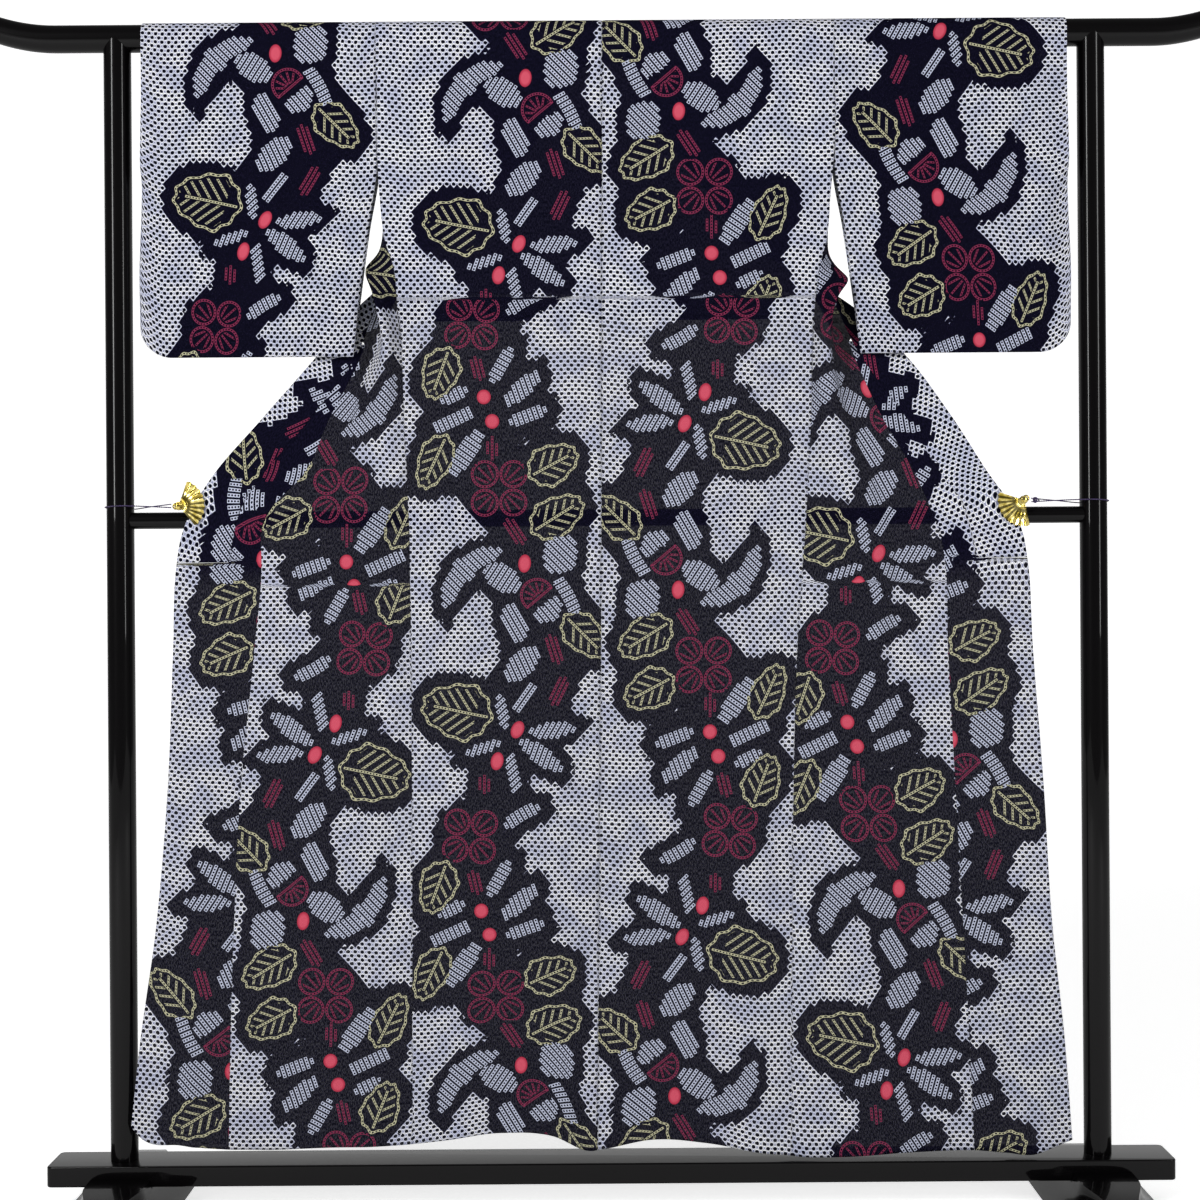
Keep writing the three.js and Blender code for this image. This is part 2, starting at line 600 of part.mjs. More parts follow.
// A brass clip: a pleated fan in front of the cloth and a jaw behind it, joined past its edge
function clip(sign, x, tilt) {
  const radii = [FAN.inner, FAN.hub - 1, FAN.hub, lerp(FAN.hub, FAN.radius, 0.5), FAN.radius];
  const steps = 2 * FAN.pleats;
  const spread = THREE.MathUtils.degToRad(FAN.spread);
  const fan = (ring, pleat) => {
    const i = Math.min(Math.max(Math.floor(ring), 0), radii.length - 2);
    const r = lerp(radii[i], radii[i + 1], ring - i);
    const angle = spread * (pleat / steps - 0.5);
    const zigzag = 1 - 4 * Math.abs(pleat / 2 - Math.floor(pleat / 2) - 0.5);
    const depth = FAN.pleatDepth * smoothstep(r, FAN.hub, FAN.radius);
    const hub = r < FAN.hub - 0.5 ? FAN.hubRise : 0;
    return new THREE.Vector3(r * Math.cos(angle), zigzag * depth - hub, r * Math.sin(angle));
  };
  const grid = radii.map((_, i) => Array.from({ length: steps + 1 }, (_unused, k) => [i, k]));
  const plate = clothWall((ring, pleat) => fan(ring, pleat), grid, CLIP.plate);
  const jawY = -FOLD_RADIUS + WALL / 2 - CLIP.fanY - JAW.slack;
  const jaw = new THREE.BoxGeometry(JAW.length, JAW.thickness, JAW.width);
  jaw.translate(JAW.middle, jawY + GAP + JAW.thickness / 2, 0);
  const barrel = bar(HINGE.radius, jawY + JAW.thickness + HINGE.past, 16, 'y');
  barrel.translate(HINGE.x, (jawY + JAW.thickness + GAP - HINGE.past) / 2, 0);
  const eye = new THREE.SphereGeometry(HINGE.eyeRadius, 12, 8).translate(HINGE.eyeX, HINGE.eyeY, 0);
  let whole = solid(plate);
  for (const part of [jaw, barrel, eye]) whole = whole.add(solid(part));
  const geometry = geometryFrom(whole);
  geometry.rotateY(-THREE.MathUtils.degToRad(tilt));
  geometry.scale(-sign, 1, 1);
  const placed = geometry.translate(sign * x, CLIP.fanY, CLIP.height);
  return signedVolume(placed) < 0 ? flipped(placed) : placed;
}

// The purple cord goes from the clip's eye round the post and back, its two runs crossing once
function cord(sign, x, knot) {
  const loop = POST.radius + CORD.radius + CORD.ease;
  const start = x + CORD.start + CORD.radius;
  const turns = [-105, -70, -35, 0, 35, 70, 105].map((degrees) => {
    const angle = THREE.MathUtils.degToRad(degrees);
    return [POST.x + loop * Math.cos(angle), loop * Math.sin(angle), CLIP.height - 0.8 - degrees / 65];
  });
  const route = [
    [start, CORD.y, CLIP.height - CORD.spread],
    [lerp(start, POST.x, 0.45), CORD.y + 0.6, CLIP.height - 0.5],
    ...turns,
    [lerp(start, POST.x, 0.4), CORD.y / 3, CLIP.height],
    [start, CORD.y, CLIP.height + CORD.spread],
  ].map(([px, py, pz]) => new THREE.Vector3(sign * px, py, pz));
  const path = new THREE.CatmullRomCurve3(route, false, 'centripetal');
  const section = new THREE.Shape();
  section.absarc(0, 0, CORD.radius, 0, 2 * Math.PI);
  const tube = new THREE.ExtrudeGeometry(section, {
    steps: CORD.steps,
    curveSegments: CORD.sides / 2,
    extrudePath: path,
    bevelEnabled: false,
  });
  if (!knot) return tube;
  const ball = new THREE.SphereGeometry(CORD.knot, 10, 8).scale(1.3, 0.9, 0.9);
  ball.translate(sign * (start + 1.3 * CORD.knot), CORD.y, CLIP.height);
  return geometryFrom(solid(tube).add(solid(ball)));
}

// The stand
add('top_rail', topRail(), lacquer);
add('post_left', post(-1), lacquer);
add('post_right', post(1), lacquer);
add('mid_rail', midRail(), lacquer);
add('base_beam', baseBeam(), lacquer);
add('foot_left', foot(-1), lacquer);
add('foot_right', foot(1), lacquer);

// The garment
const left = frontSurface(-1, LEFT_ROWS);
const right = frontSurface(1, RIGHT_ROWS);
add('back_left', backPanel(-1, LEFT_ROWS), cotton);
add('back_right', backPanel(1, RIGHT_ROWS), cotton);
add('front_left', frontPanel(left), cotton);
add('front_right', frontPanel(right), cotton);
add('okumi_left', okumiPanel(left), cotton);
add('okumi_right', okumiPanel(right), cotton);
add('collar', collarBand([left, right], [LEFT_ROWS, RIGHT_ROWS]), cotton);
add('sleeve_left', sleeve(-1, LEFT_ROWS), cotton);
add('sleeve_right', sleeve(1, RIGHT_ROWS), cotton);

// What holds the fronts open
add('clip_left', clip(-1, CLIP.left, CLIP.leftTilt), brass);
add('clip_right', clip(1, CLIP.right, CLIP.rightTilt), brass);
add('cord_left', cord(-1, CLIP.left, false), silk);
add('cord_right', cord(1, CLIP.right, true), silk);

export default yukata;
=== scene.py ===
# %% [markdown]
# # A shibori yukata on a lacquered stand
#
# A yukata is an unlined cotton robe cut from one narrow bolt of cloth. This one is shown from its
# back, hung by its sleeves over the rail of a black stand. Its fronts are drawn open to the sides
# by two brass clips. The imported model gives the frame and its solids, and this script builds what
# is seen of them: thin cloth shells, their dyed pattern, lacquer, brass and silk.

import math

import bmesh
import bpy
import numpy as np
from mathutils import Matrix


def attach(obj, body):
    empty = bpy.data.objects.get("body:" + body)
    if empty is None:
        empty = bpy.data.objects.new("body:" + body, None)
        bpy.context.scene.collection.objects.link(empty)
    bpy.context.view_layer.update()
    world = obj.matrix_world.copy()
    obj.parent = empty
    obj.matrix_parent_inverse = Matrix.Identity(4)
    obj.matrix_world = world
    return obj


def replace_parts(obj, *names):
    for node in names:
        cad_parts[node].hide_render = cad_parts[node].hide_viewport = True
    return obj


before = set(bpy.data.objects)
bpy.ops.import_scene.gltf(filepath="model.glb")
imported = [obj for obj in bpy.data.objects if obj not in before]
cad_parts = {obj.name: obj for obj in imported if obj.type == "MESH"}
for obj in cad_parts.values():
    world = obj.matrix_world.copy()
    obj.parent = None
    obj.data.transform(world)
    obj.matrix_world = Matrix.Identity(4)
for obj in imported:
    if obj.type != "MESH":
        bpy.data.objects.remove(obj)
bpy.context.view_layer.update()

# %% [markdown]
# ## Sizes
#
# All sizes are in millimetres, and are turned into metres when a mesh is made. X runs along the
# rail, the back of the garment faces -Y, and Z is the height above the floor. The tables give the
# cloth's lines by height: where a front's side edge, overlap seam, collar seam and free edge lie,
# how far back the free edge hangs, and how deep the slack folds are.

# %%
MM = 0.001
RAIL_HEIGHT = 1683.5
RAIL_RADIUS = 19.5
POST_X = 703.0
FOLD_RADIUS = 21.2
QUARTER = FOLD_RADIUS * math.pi / 2
SHOULDER_CUT, FRONT_CUT, COLLAR_CUT = 245.0, 270.0, 60.0
COLLAR_END, OKUMI_TOP = 925.0, 1240.0
ARMHOLE_END, SIDE_SEAM_TOP = 1508.0, 1370.0
HEM_START, HEM_ROW = 400.0, 80.0
CLIP_HEIGHT = 1007.0

FRONT_COLUMNS = ("z", "side", "okumi", "collar", "edge", "depth", "fold")
LEFT_ROWS = (
    (1705, 327, 82, 82, 20, 21, 0),
    (1665, 327, 97, 97, 30, 21, 0),
    (1640, 327, 112, 112, 36, 21, 0),
    (1600, 327, 138, 138, 66, 22, 6),
    (1520, 326, 190, 190, 112, 24, 18),
    (1450, 323, 240, 240, 176, 25, 28),
    (1380, 314, 286, 286, 250, 25, 40),
    (1350, 304, 306, 306, 296, 23, 44),
    (1296, 299, 334, 334, 360, 15, 42),
    (1229, 293, 352, 358, 414, 5, 26),
    (1130, 290, 400, 428, 498, -9, 15),
    (1045, 286, 440, 497, 568, -22, 9),
    (1007, 285, 478, 522, 592, -22, 7),
    (960, 283, 497, 536, 611, -22, 7),
    (925, 283, 496, 542, 617, -22, 7),
    (800, 282, 507, 552, 623, -22, 6),
    (600, 282, 528, 563, 632, -23, 6),
    (400, 283, 539, 580, 650, -24, 7),
    (240, 284, 545, 600, 672, -24, 8),
    (60, 284, 549, 610, 689, -24, 9),
)
RIGHT_ROWS = (
    (1705, 331, 82, 82, 20, 21, 0),
    (1665, 331, 97, 97, 30, 21, 0),
    (1640, 331, 112, 112, 36, 21, 0),
    (1600, 331, 136, 136, 62, 22, 6),
    (1520, 330, 182, 182, 104, 24, 18),
    (1450, 324, 228, 228, 160, 25, 28),
    (1380, 317, 266, 266, 215, 25, 40),
    (1350, 309, 298, 298, 268, 23, 44),
    (1296, 301, 332, 332, 354, 15, 40),
    (1229, 297, 355, 362, 425, 4, 24),
    (1130, 294, 397, 430, 497, -9, 15),
    (1045, 289, 443, 480, 548, -22, 9),
    (1007, 287, 460, 508, 575, -22, 7),
    (960, 284, 478, 522, 596, -22, 7),
    (925, 281, 484, 530, 602, -22, 7),
    (800, 272, 488, 535, 609, -22, 6),
    (600, 265, 497, 548, 623, -23, 6),
    (400, 262, 507, 565, 634, -23, 7),
    (240, 260, 515, 580, 650, -23, 8),
    (60, 259, 522, 590, 662, -23, 9),
)
OKUMI_CUT = ((1240, 6), (1130, 40), (1045, 60), (1007, 75), (925, 84), (60, 84))
CENTRE = ((1705, -2), (868, -9), (60, -20))
HEM = (
    (-689, 120), (-675, 104), (-618, 91), (-503, 82), (-388, 88), (-284, 90), (-156, 105),
    (-83, 101), (-30, 78), (-8, 82), (63, 95), (136, 89), (246, 71), (282, 68.5), (409, 73),
    (523, 75), (600, 69), (636, 80), (662, 91),
)
SLEEVE_COLUMNS = ("z", "inner", "outer", "middle", "half")
SLEEVE_ROWS = (
    (1705, 0, 664, 0, FOLD_RADIUS),
    (1683.5, 0, 664, 0, FOLD_RADIUS),
    (1600, 0, 664, -2, 19),
    (1508, 0, 666, -4, 16.5),
    (1400, 15, 668, -6.5, 12),
    (1300, 28, 671, -8, 7),
    (1221, 38, 670, -9, 3.5),
)
SLEEVE_BOTTOM, CUFF_END, SLEEVE_CORNER, SEAM_HALF, CLOSE_BAND = 1221.0, 1473.0, 45.0, 0.95, 40.0

print("the garment's hem is", HEM[-1][0] - HEM[0][0], "mm wide")

# %% [markdown]
# ## Curves through the tables
#
# A cloth's edge has no corners except at its seams, so the tables are read through smooth curves.
# A plain cubic curve would swing past the measured places, and this one doesn't.

# %%
def smooth(value, low, high):
    """0 below low, 1 above high, and an S-shaped rise of 3t^2 - 2t^3 between."""
    t = np.clip((value - low) / (high - low), 0.0, 1.0)
    return t * t * (3 - 2 * t)


def mix(a, b, share):
    """The value a share of the way from a to b."""
    return a + (b - a) * share


def along(places, values, where):
    """A smooth curve through table rows that never swings past them. Each stretch is a cubic, and
    its slope at a row is the mean of the two stretches' rises, weighted by the other's length, or
    level where the curve turns."""
    order = np.argsort(places)
    k = np.asarray(places, float)[order]
    v = np.asarray(values, float)[order]
    h = np.diff(k)
    rise = np.diff(v) / h
    slope = np.concatenate(([rise[0]], np.zeros(len(k) - 2), [rise[-1]]))
    inner = (rise[:-1] * h[1:] + rise[1:] * h[:-1]) / (h[1:] + h[:-1])
    slope[1:-1] = np.where(rise[:-1] * rise[1:] > 0, inner, 0.0)
    where = np.clip(where, k[0], k[-1])
    i = np.clip(np.searchsorted(k, where, side="right") - 1, 0, len(k) - 2)
    t = (where - k[i]) / h[i]
    ends = v[i] * (1 + 2 * t) * (1 - t) ** 2 + v[i + 1] * t * t * (3 - 2 * t)
    return ends + h[i] * (slope[i] * t * (1 - t) ** 2 + slope[i + 1] * t * t * (t - 1))


def column(rows, names, name, where):
    """One named column of a table, along its first column."""
    j = names.index(name)
    return along([r[0] for r in rows], [r[j] for r in rows], where)


def line(rows, name, z):
    """One line of a front's table at the heights z."""
    return column(rows, FRONT_COLUMNS, name, z)


print("the left overlap seam is", line(LEFT_ROWS, "okumi", 1000.0), "mm from the middle at 1000 mm")

# %% [markdown]
# ## How the cloth hangs
#
# The cloth lies over the round rail for a quarter turn on each side, and then hangs straight down.
# A place on it is named by the way down from the top of the fold, so the same formula gives the
# rounded shoulder and the flat panel.

# %%
def hang(down):
    """Height, and the share of the depth reached, at a way down from the top of the fold. On the
    rail both follow a circle of the fold's radius; below it the height falls one for one."""
    angle = np.minimum(down, QUARTER) / FOLD_RADIUS
    z = RAIL_HEIGHT + FOLD_RADIUS * np.cos(angle) - np.maximum(down - QUARTER, 0.0)
    return z, np.sin(angle)


def down_to(z):
    """The way down from the top of the fold to a height below the rail's middle."""
    return QUARTER + RAIL_HEIGHT - z


def hemmed(z, x):
    """Below the hem's start every row bends a little towards the measured hem line."""
    share = np.clip((HEM_START - z) / (HEM_START - HEM_ROW), 0.0, None)
    hem = along([h[0] for h in HEM], [h[1] for h in HEM], x)
    return np.where(z < HEM_START, HEM_START - share * (HEM_START - hem), z)


def side_depth(z):
    """The front's side edge lies on the sleeve's back layer down to the armhole's end, then comes
    forward to the side seam."""
    behind = column(SLEEVE_ROWS, SLEEVE_COLUMNS, "middle", z)
    behind = behind + column(SLEEVE_ROWS, SLEEVE_COLUMNS, "half", z)
    return mix(behind, -FOLD_RADIUS, smooth(ARMHOLE_END - z, 0, ARMHOLE_END - SIDE_SEAM_TOP))


# %% [markdown]
# ## Where each piece of cloth is
#
# Each of these functions gives the place of a point on a piece from two parameters: the way across
# it, and the way down from the fold. The fronts are drawn to the sides by the clips, and so their
# slack stands in one big fold.

# %%
FRONT_ABOVE, FRONT_BELOW = 1700, 1500
FOLD_END = 0.86


def front_place(sign, rows, across, down):
    """One whole front: across is 0 to 1 on the front panel, 1 to 2 on the overlap and 2 to 3 on the
    collar. The lines of the table give x. The depth runs straight from the side edge to the free
    edge, and one sine wave of slack swings to both sides of that chord and dies out towards the
    collar."""
    z, reach = hang(down)
    lines = [line(rows, name, z) for name in ("side", "okumi", "collar", "edge")]
    lines[1] = np.where(z > OKUMI_TOP, lines[2], lines[1])
    front = mix(FRONT_CUT, SHOULDER_CUT, smooth(z, FRONT_BELOW, FRONT_ABOVE))
    okumi = along([r[0] for r in OKUMI_CUT], [r[1] for r in OKUMI_CUT], z)
    okumi = np.where(z > OKUMI_TOP, 0.0, okumi)
    whole = front + okumi + COLLAR_CUT
    shares = [np.zeros_like(z), front / whole, (front + okumi) / whole, np.ones_like(z)]
    x = np.zeros_like(z)
    share = np.zeros_like(z)
    for part in range(3):
        t = across - part
        here = (t >= 0) & (t <= 1)
        x = np.where(here, mix(lines[part], lines[part + 1], t), x)
        share = np.where(here, mix(shares[part], shares[part + 1], t), share)
    near, far = side_depth(z), line(rows, "depth", z)
    y = mix(near, far, share)
    wave = np.clip(share / FOLD_END, 0.0, 1.0)
    swing = line(rows, "fold", z) * np.sin(2 * np.pi * wave) * (1 - wave * wave)
    length = np.hypot(lines[3] - lines[0], far - near)
    x = x + swing * (far - near) / length
    y = y - swing * (lines[3] - lines[0]) / length
    x = sign * x
    return np.stack([x, reach * y, hemmed(z, x)], -1)


def back_place(sign, rows, across, down):
    """A back panel, from the centre seam at 0 to the side seam at 1. Two shallow flutes, 5 mm deep
    at the hem, grow as a squared sine."""
    z, reach = hang(down)
    centre = along([c[0] for c in CENTRE], [c[1] for c in CENTRE], z)
    x = mix(centre, sign * line(rows, "side", z), across)
    flute = 5 * smooth(1400 - z, 0, 1100) * np.sin(2 * np.pi * across) ** 2
    return np.stack([x, -reach * (FOLD_RADIUS + flute), hemmed(z, x)], -1)


def sleeve_place(sign, rows, across, way):
    """A sleeve folded over the rail: way is negative down its back layer and positive down its
    front layer. The layers close at the bottom and at the outer edge below the cuff opening. The
    outer corner is a circle's quarter."""
    down = np.abs(way)
    z, reach = hang(down)
    body = line(rows, "side", np.maximum(z, ARMHOLE_END))
    inner = body + column(SLEEVE_ROWS, SLEEVE_COLUMNS, "inner", z)
    outer = column(SLEEVE_ROWS, SLEEVE_COLUMNS, "outer", z)
    x = mix(inner, outer, across)
    past = np.maximum(x - (outer - SLEEVE_CORNER), 0.0)
    lift = SLEEVE_CORNER - np.sqrt(np.maximum(SLEEVE_CORNER**2 - past**2, 0.0))
    share = np.maximum(RAIL_HEIGHT - z, 0.0) / (RAIL_HEIGHT - SLEEVE_BOTTOM)
    near_edge = smooth(x - (outer - CLOSE_BAND), 0, CLOSE_BAND)
    closed = np.maximum(smooth(CUFF_END - z, -10, 30) * near_edge, smooth(share, 0.94, 1))
    half = mix(column(SLEEVE_ROWS, SLEEVE_COLUMNS, "half", z), SEAM_HALF, closed)
    y = column(SLEEVE_ROWS, SLEEVE_COLUMNS, "middle", z) + np.sign(way) * half
    return np.stack([sign * x, reach * y, z + lift * share], -1)


# %% [markdown]
# ## Where the collar is
#
# The collar is one band from one front round the neck to the other. Its lower ends lie in the
# surface of the fronts. At the neck it is turned over the rail, so the table gives how far its free
# edge is from the middle there.

# %%
NECK_COLUMNS = ("down", "edge_x", "edge_down")
NECK = (
    (0.0, 10, 66), (0.25 * QUARTER, 13, 67), (0.5 * QUARTER, 17, 68),
    (0.75 * QUARTER, 21, 69), (QUARTER, 25, 70.5), (down_to(1665), 29, 72), (down_to(1640), 36, 76.9),
)


NECK_TOP, COLLAR_START = 1640.0, COLLAR_END + 0.4


def collar_rows(sign, rows, shares, spacing):
    """The collar's half, as rows of points from its lower end up the front, over the rail and round
    to the middle of the neck. On the front it is the outer part of the front's surface. Behind the
    neck its seam runs along the fold, and its free edge hangs below."""
    z = np.append(np.arange(COLLAR_START, NECK_TOP, spacing), NECK_TOP)
    down = down_to(z)[:, None]
    across = np.broadcast_to(2 + shares[None, :], (len(z), len(shares)))
    low = front_place(sign, rows, across, np.broadcast_to(down, across.shape))
    steps = np.linspace(down_to(NECK_TOP), 0.0, 22)[1:]
    seam_z, _ = hang(steps)
    seam_x = line(rows, "collar", seam_z)
    edge_x = column(NECK, NECK_COLUMNS, "edge_x", steps)
    edge_down = column(NECK, NECK_COLUMNS, "edge_down", steps)
    turn = np.linspace(1, 0, 12)[1:]
    seam_x = np.concatenate([seam_x, turn * seam_x[-1]])
    edge_x = np.concatenate([edge_x, turn * 10])
    seam_down = np.concatenate([steps, np.zeros(11)])
    edge_down = np.concatenate([edge_down, mix(65.0, 66.0, turn)])
    x = mix(seam_x[:, None], edge_x[:, None], shares[None, :])
    z, reach = hang(mix(seam_down[:, None], edge_down[:, None], shares[None, :]))
    return np.concatenate([low, np.stack([sign * x, reach * FOLD_RADIUS, z], -1)])


print("a sleeve is", RAIL_HEIGHT + FOLD_RADIUS - SLEEVE_BOTTOM, "mm deep")

# %% [markdown]
# ## The dyed pattern
#
# The cloth is tie-dyed: thousands of tiny knots leave rings undyed. The white ground is a lattice
# of such rings. On it runs a garland on a near-black band: petals filled with bars of ring chains,
# leaves drawn with beige chains, four-petalled flowers and stems in maroon, and round red buds.
# The garland repeats every 736 mm. The table below is one repeat: u is to the right of the
# garland's middle and v below the first bud. The lean of bars, leaves and stems is measured from
# the vertical, clockwise.

# %%
REPEAT = 736.0
RING_WIDE, RING_HIGH = 10.0, 11.6
PETAL, LEAF, FLOWER, HALF_FLOWER, STEMS, BUD = range(1, 7)
MOTIF_COLUMNS = ("kind", "u", "v", "lean", "across", "along", "skew", "bend")
MOTIFS = np.array([
    (BUD, 44, 0, 5, 9, 13, 0, 0),
    (PETAL, -43, 8, -45, 60, 16, 0, 0.0053),
    (PETAL, 12, 20, 33, 28, 19, 0, 0),
    (PETAL, 95, -13, -45, 28, 26, 0.1, 0),
    (HALF_FLOWER, 62, 45, -40, 25, 25, 0, 0),
    (PETAL, 78, 66, -40, 21, 18, 0, 0),
    (PETAL, 107, 47, 62, 34, 11, 0, 0.004),
    (PETAL, 30, 85, -30, 18, 26, 0.3, 0),
    (LEAF, 131, 104, 135, 27, 42, 0, 0),
    (STEMS, 87, 123, -18, 10, 24, 0, 0),
    (PETAL, 41, 144, -25, 31, 17, 0.25, 0),
    (STEMS, 94, 183, 26, 10, 24, 0, 0),
    (LEAF, -53, 210, -78, 41, 52, 0, 0),
    (PETAL, 13, 212, 45, 21, 11, -0.6, 0),
    (PETAL, 45, 192, 35, 11, 22, 0, 0),
    (BUD, 35, 238, 24, 9, 13, 0, 0),
    (PETAL, 85, 239, 30, 29, 13, 0.6, 0),
    (PETAL, 69, 275, 20, 35, 12, -0.25, 0),
    (BUD, 6, 283, 12, 9, 13, 0, 0),
    (PETAL, 29, 300, 45, 24, 11, -0.6, 0),
    (PETAL, -14, 264, 20, 20, 10, 0.7, 0),
    (STEMS, -12, 316, 0, 10, 15, 0, 0),
    (PETAL, 41, 360, -30, 32, 11, 0, 0.004),
    (FLOWER, -32, 390, 4, 39, 39, 0, 0),
    (STEMS, -24, 456, -14, 10, 20, 0, 0),
    (LEAF, -78, 463, 200, 28, 40, 0, 0),
    (PETAL, 10, 451, -60, 32, 9, 0, 0),
    (PETAL, 40, 485, -20, 32, 12, 0.35, 0),
    (BUD, -15, 497, 0, 10, 10.5, 0, 0),
    (PETAL, -58, 494, -25, 19, 10, 0, 0),
    (PETAL, 48, 524, -20, 31, 11, 0, 0),
    (BUD, -3, 532, 0, 10, 10.5, 0, 0),
    (PETAL, -59, 530, -25, 34, 11, 0, 0),
    (PETAL, -41, 577, -55, 39, 13, 0, 0),
    (LEAF, -86, 590, 205, 26, 43, 0, 0),
    (STEMS, -3, 571, 0, 10, 16, 0, 0),
    (LEAF, 85, 593, 62, 30, 40, 0, 0),
    (FLOWER, 7, 628, 0, 41, 41, 0, 0),
    (LEAF, 91, 668, 58, 30, 44, 0, 0),
    (STEMS, 30, 690, -33, 10, 24, 0, 0),
])
print(len(MOTIFS), "motifs in one repeat of", REPEAT, "mm")

# %% [markdown]
# ## Where the garland lies on the cloth
#
# Each place on the cloth belongs to the nearest motif, and is drawn in that motif's own axes. The
# dark band runs round all of them at an even margin, and narrow gaps between motifs are filled.

# %%
MARGIN, FILL = 15.0, 8.0


def motif(name):
    """One column of the garland's table."""
    return MOTIFS[:, MOTIF_COLUMNS.index(name)]


def local(u, v, which, turns):
    """A place in a motif's own axes: c across its bars or axis, s along them. A petal's bars may
    step along a straight skew or a curved bend, which is taken out of s."""
    du = u - motif("u")[which]
    dv = v - motif("v")[which] - turns * REPEAT
    lean = np.radians(motif("lean")[which])
    c = du * np.cos(lean) + dv * np.sin(lean)
    s = du * np.sin(lean) - dv * np.cos(lean)
    return c, s - motif("skew")[which] * c + motif("bend")[which] * c * c


def outside(c, s, which):
    """How far a place is outside a motif's ellipse: (r - 1) r over the length of its gradient."""
    a, b = motif("across")[which], motif("along")[which]
    r = np.sqrt((c / a) ** 2 + (s / b) ** 2) + 1e-6
    return (r - 1) * r / np.sqrt(c**2 / a**4 + s**2 / b**4 + 1e-12)


def nearest(u, v):
    """The motif that each place belongs to, the repeat it is in, and the distance outside all of
    them. That distance is a soft minimum, -k ln(sum of exp(-d / k)), which fills narrow gaps."""
    every = np.arange(len(MOTIFS))[None, :]
    turns = np.round((v[:, None] - motif("v")[None, :]) / REPEAT)
    c, s = local(u[:, None], v[:, None], every, turns)
    far = outside(c, s, every)
    which = np.argmin(far, 1)
    row = np.arange(len(u))
    joined = far.min(1) - FILL * np.log(np.exp((far.min(1, keepdims=True) - far) / FILL).sum(1))
    return which, turns[row, which], joined


test_u, test_v = np.meshgrid(np.arange(-165.0, 165.0, 4.0), np.arange(0.0, REPEAT, 4.0))
dark_share = (nearest(test_u.ravel(), test_v.ravel())[2] < MARGIN).mean()
print("the dark band takes", round(float(dark_share), 2), "of a cloth 330 mm wide")

# %% [markdown]
# ## A piece of cloth as a mesh
#
# Each cut piece is a grid of points on its surface, thickened to a thin shell. The grid also
# carries what the dye needs: the cloth's own coordinates, the place within the nearest motif, that
# motif's size, and how far the place is from the dark band. The shader draws rings and chains from
# these, so the pattern is bound to the cloth and bends with it.

# %%
SHELL = 0.5
SLOPE_STEP = 2.0


def crumple(u, v, seed):
    """Slow unevenness of hung cotton, in mm: a few long waves at odd angles, added up."""
    rng = np.random.default_rng(seed)
    total = np.zeros_like(u)
    for length, height in ((310, 1.0), (170, 0.7), (95, 0.45), (52, 0.25)):
        angle, phase = rng.uniform(0, 2 * np.pi, 2)
        wave = u * np.cos(angle) * 1.6 + v * np.sin(angle) * 0.7
        total += height * np.sin(2 * np.pi * wave / length + phase + np.sin(v / 137 + phase))
    return total


def ridge(distance, width):
    """A soft ridge's cross section: a bell of that width."""
    return np.exp(-((distance / width) ** 2))


def quads(index):
    """The faces of a grid of vertex numbers, each from four neighbours taken round."""
    return np.stack([index[:-1, :-1], index[1:, :-1], index[1:, 1:], index[:-1, 1:]], -1).reshape(-1, 4)


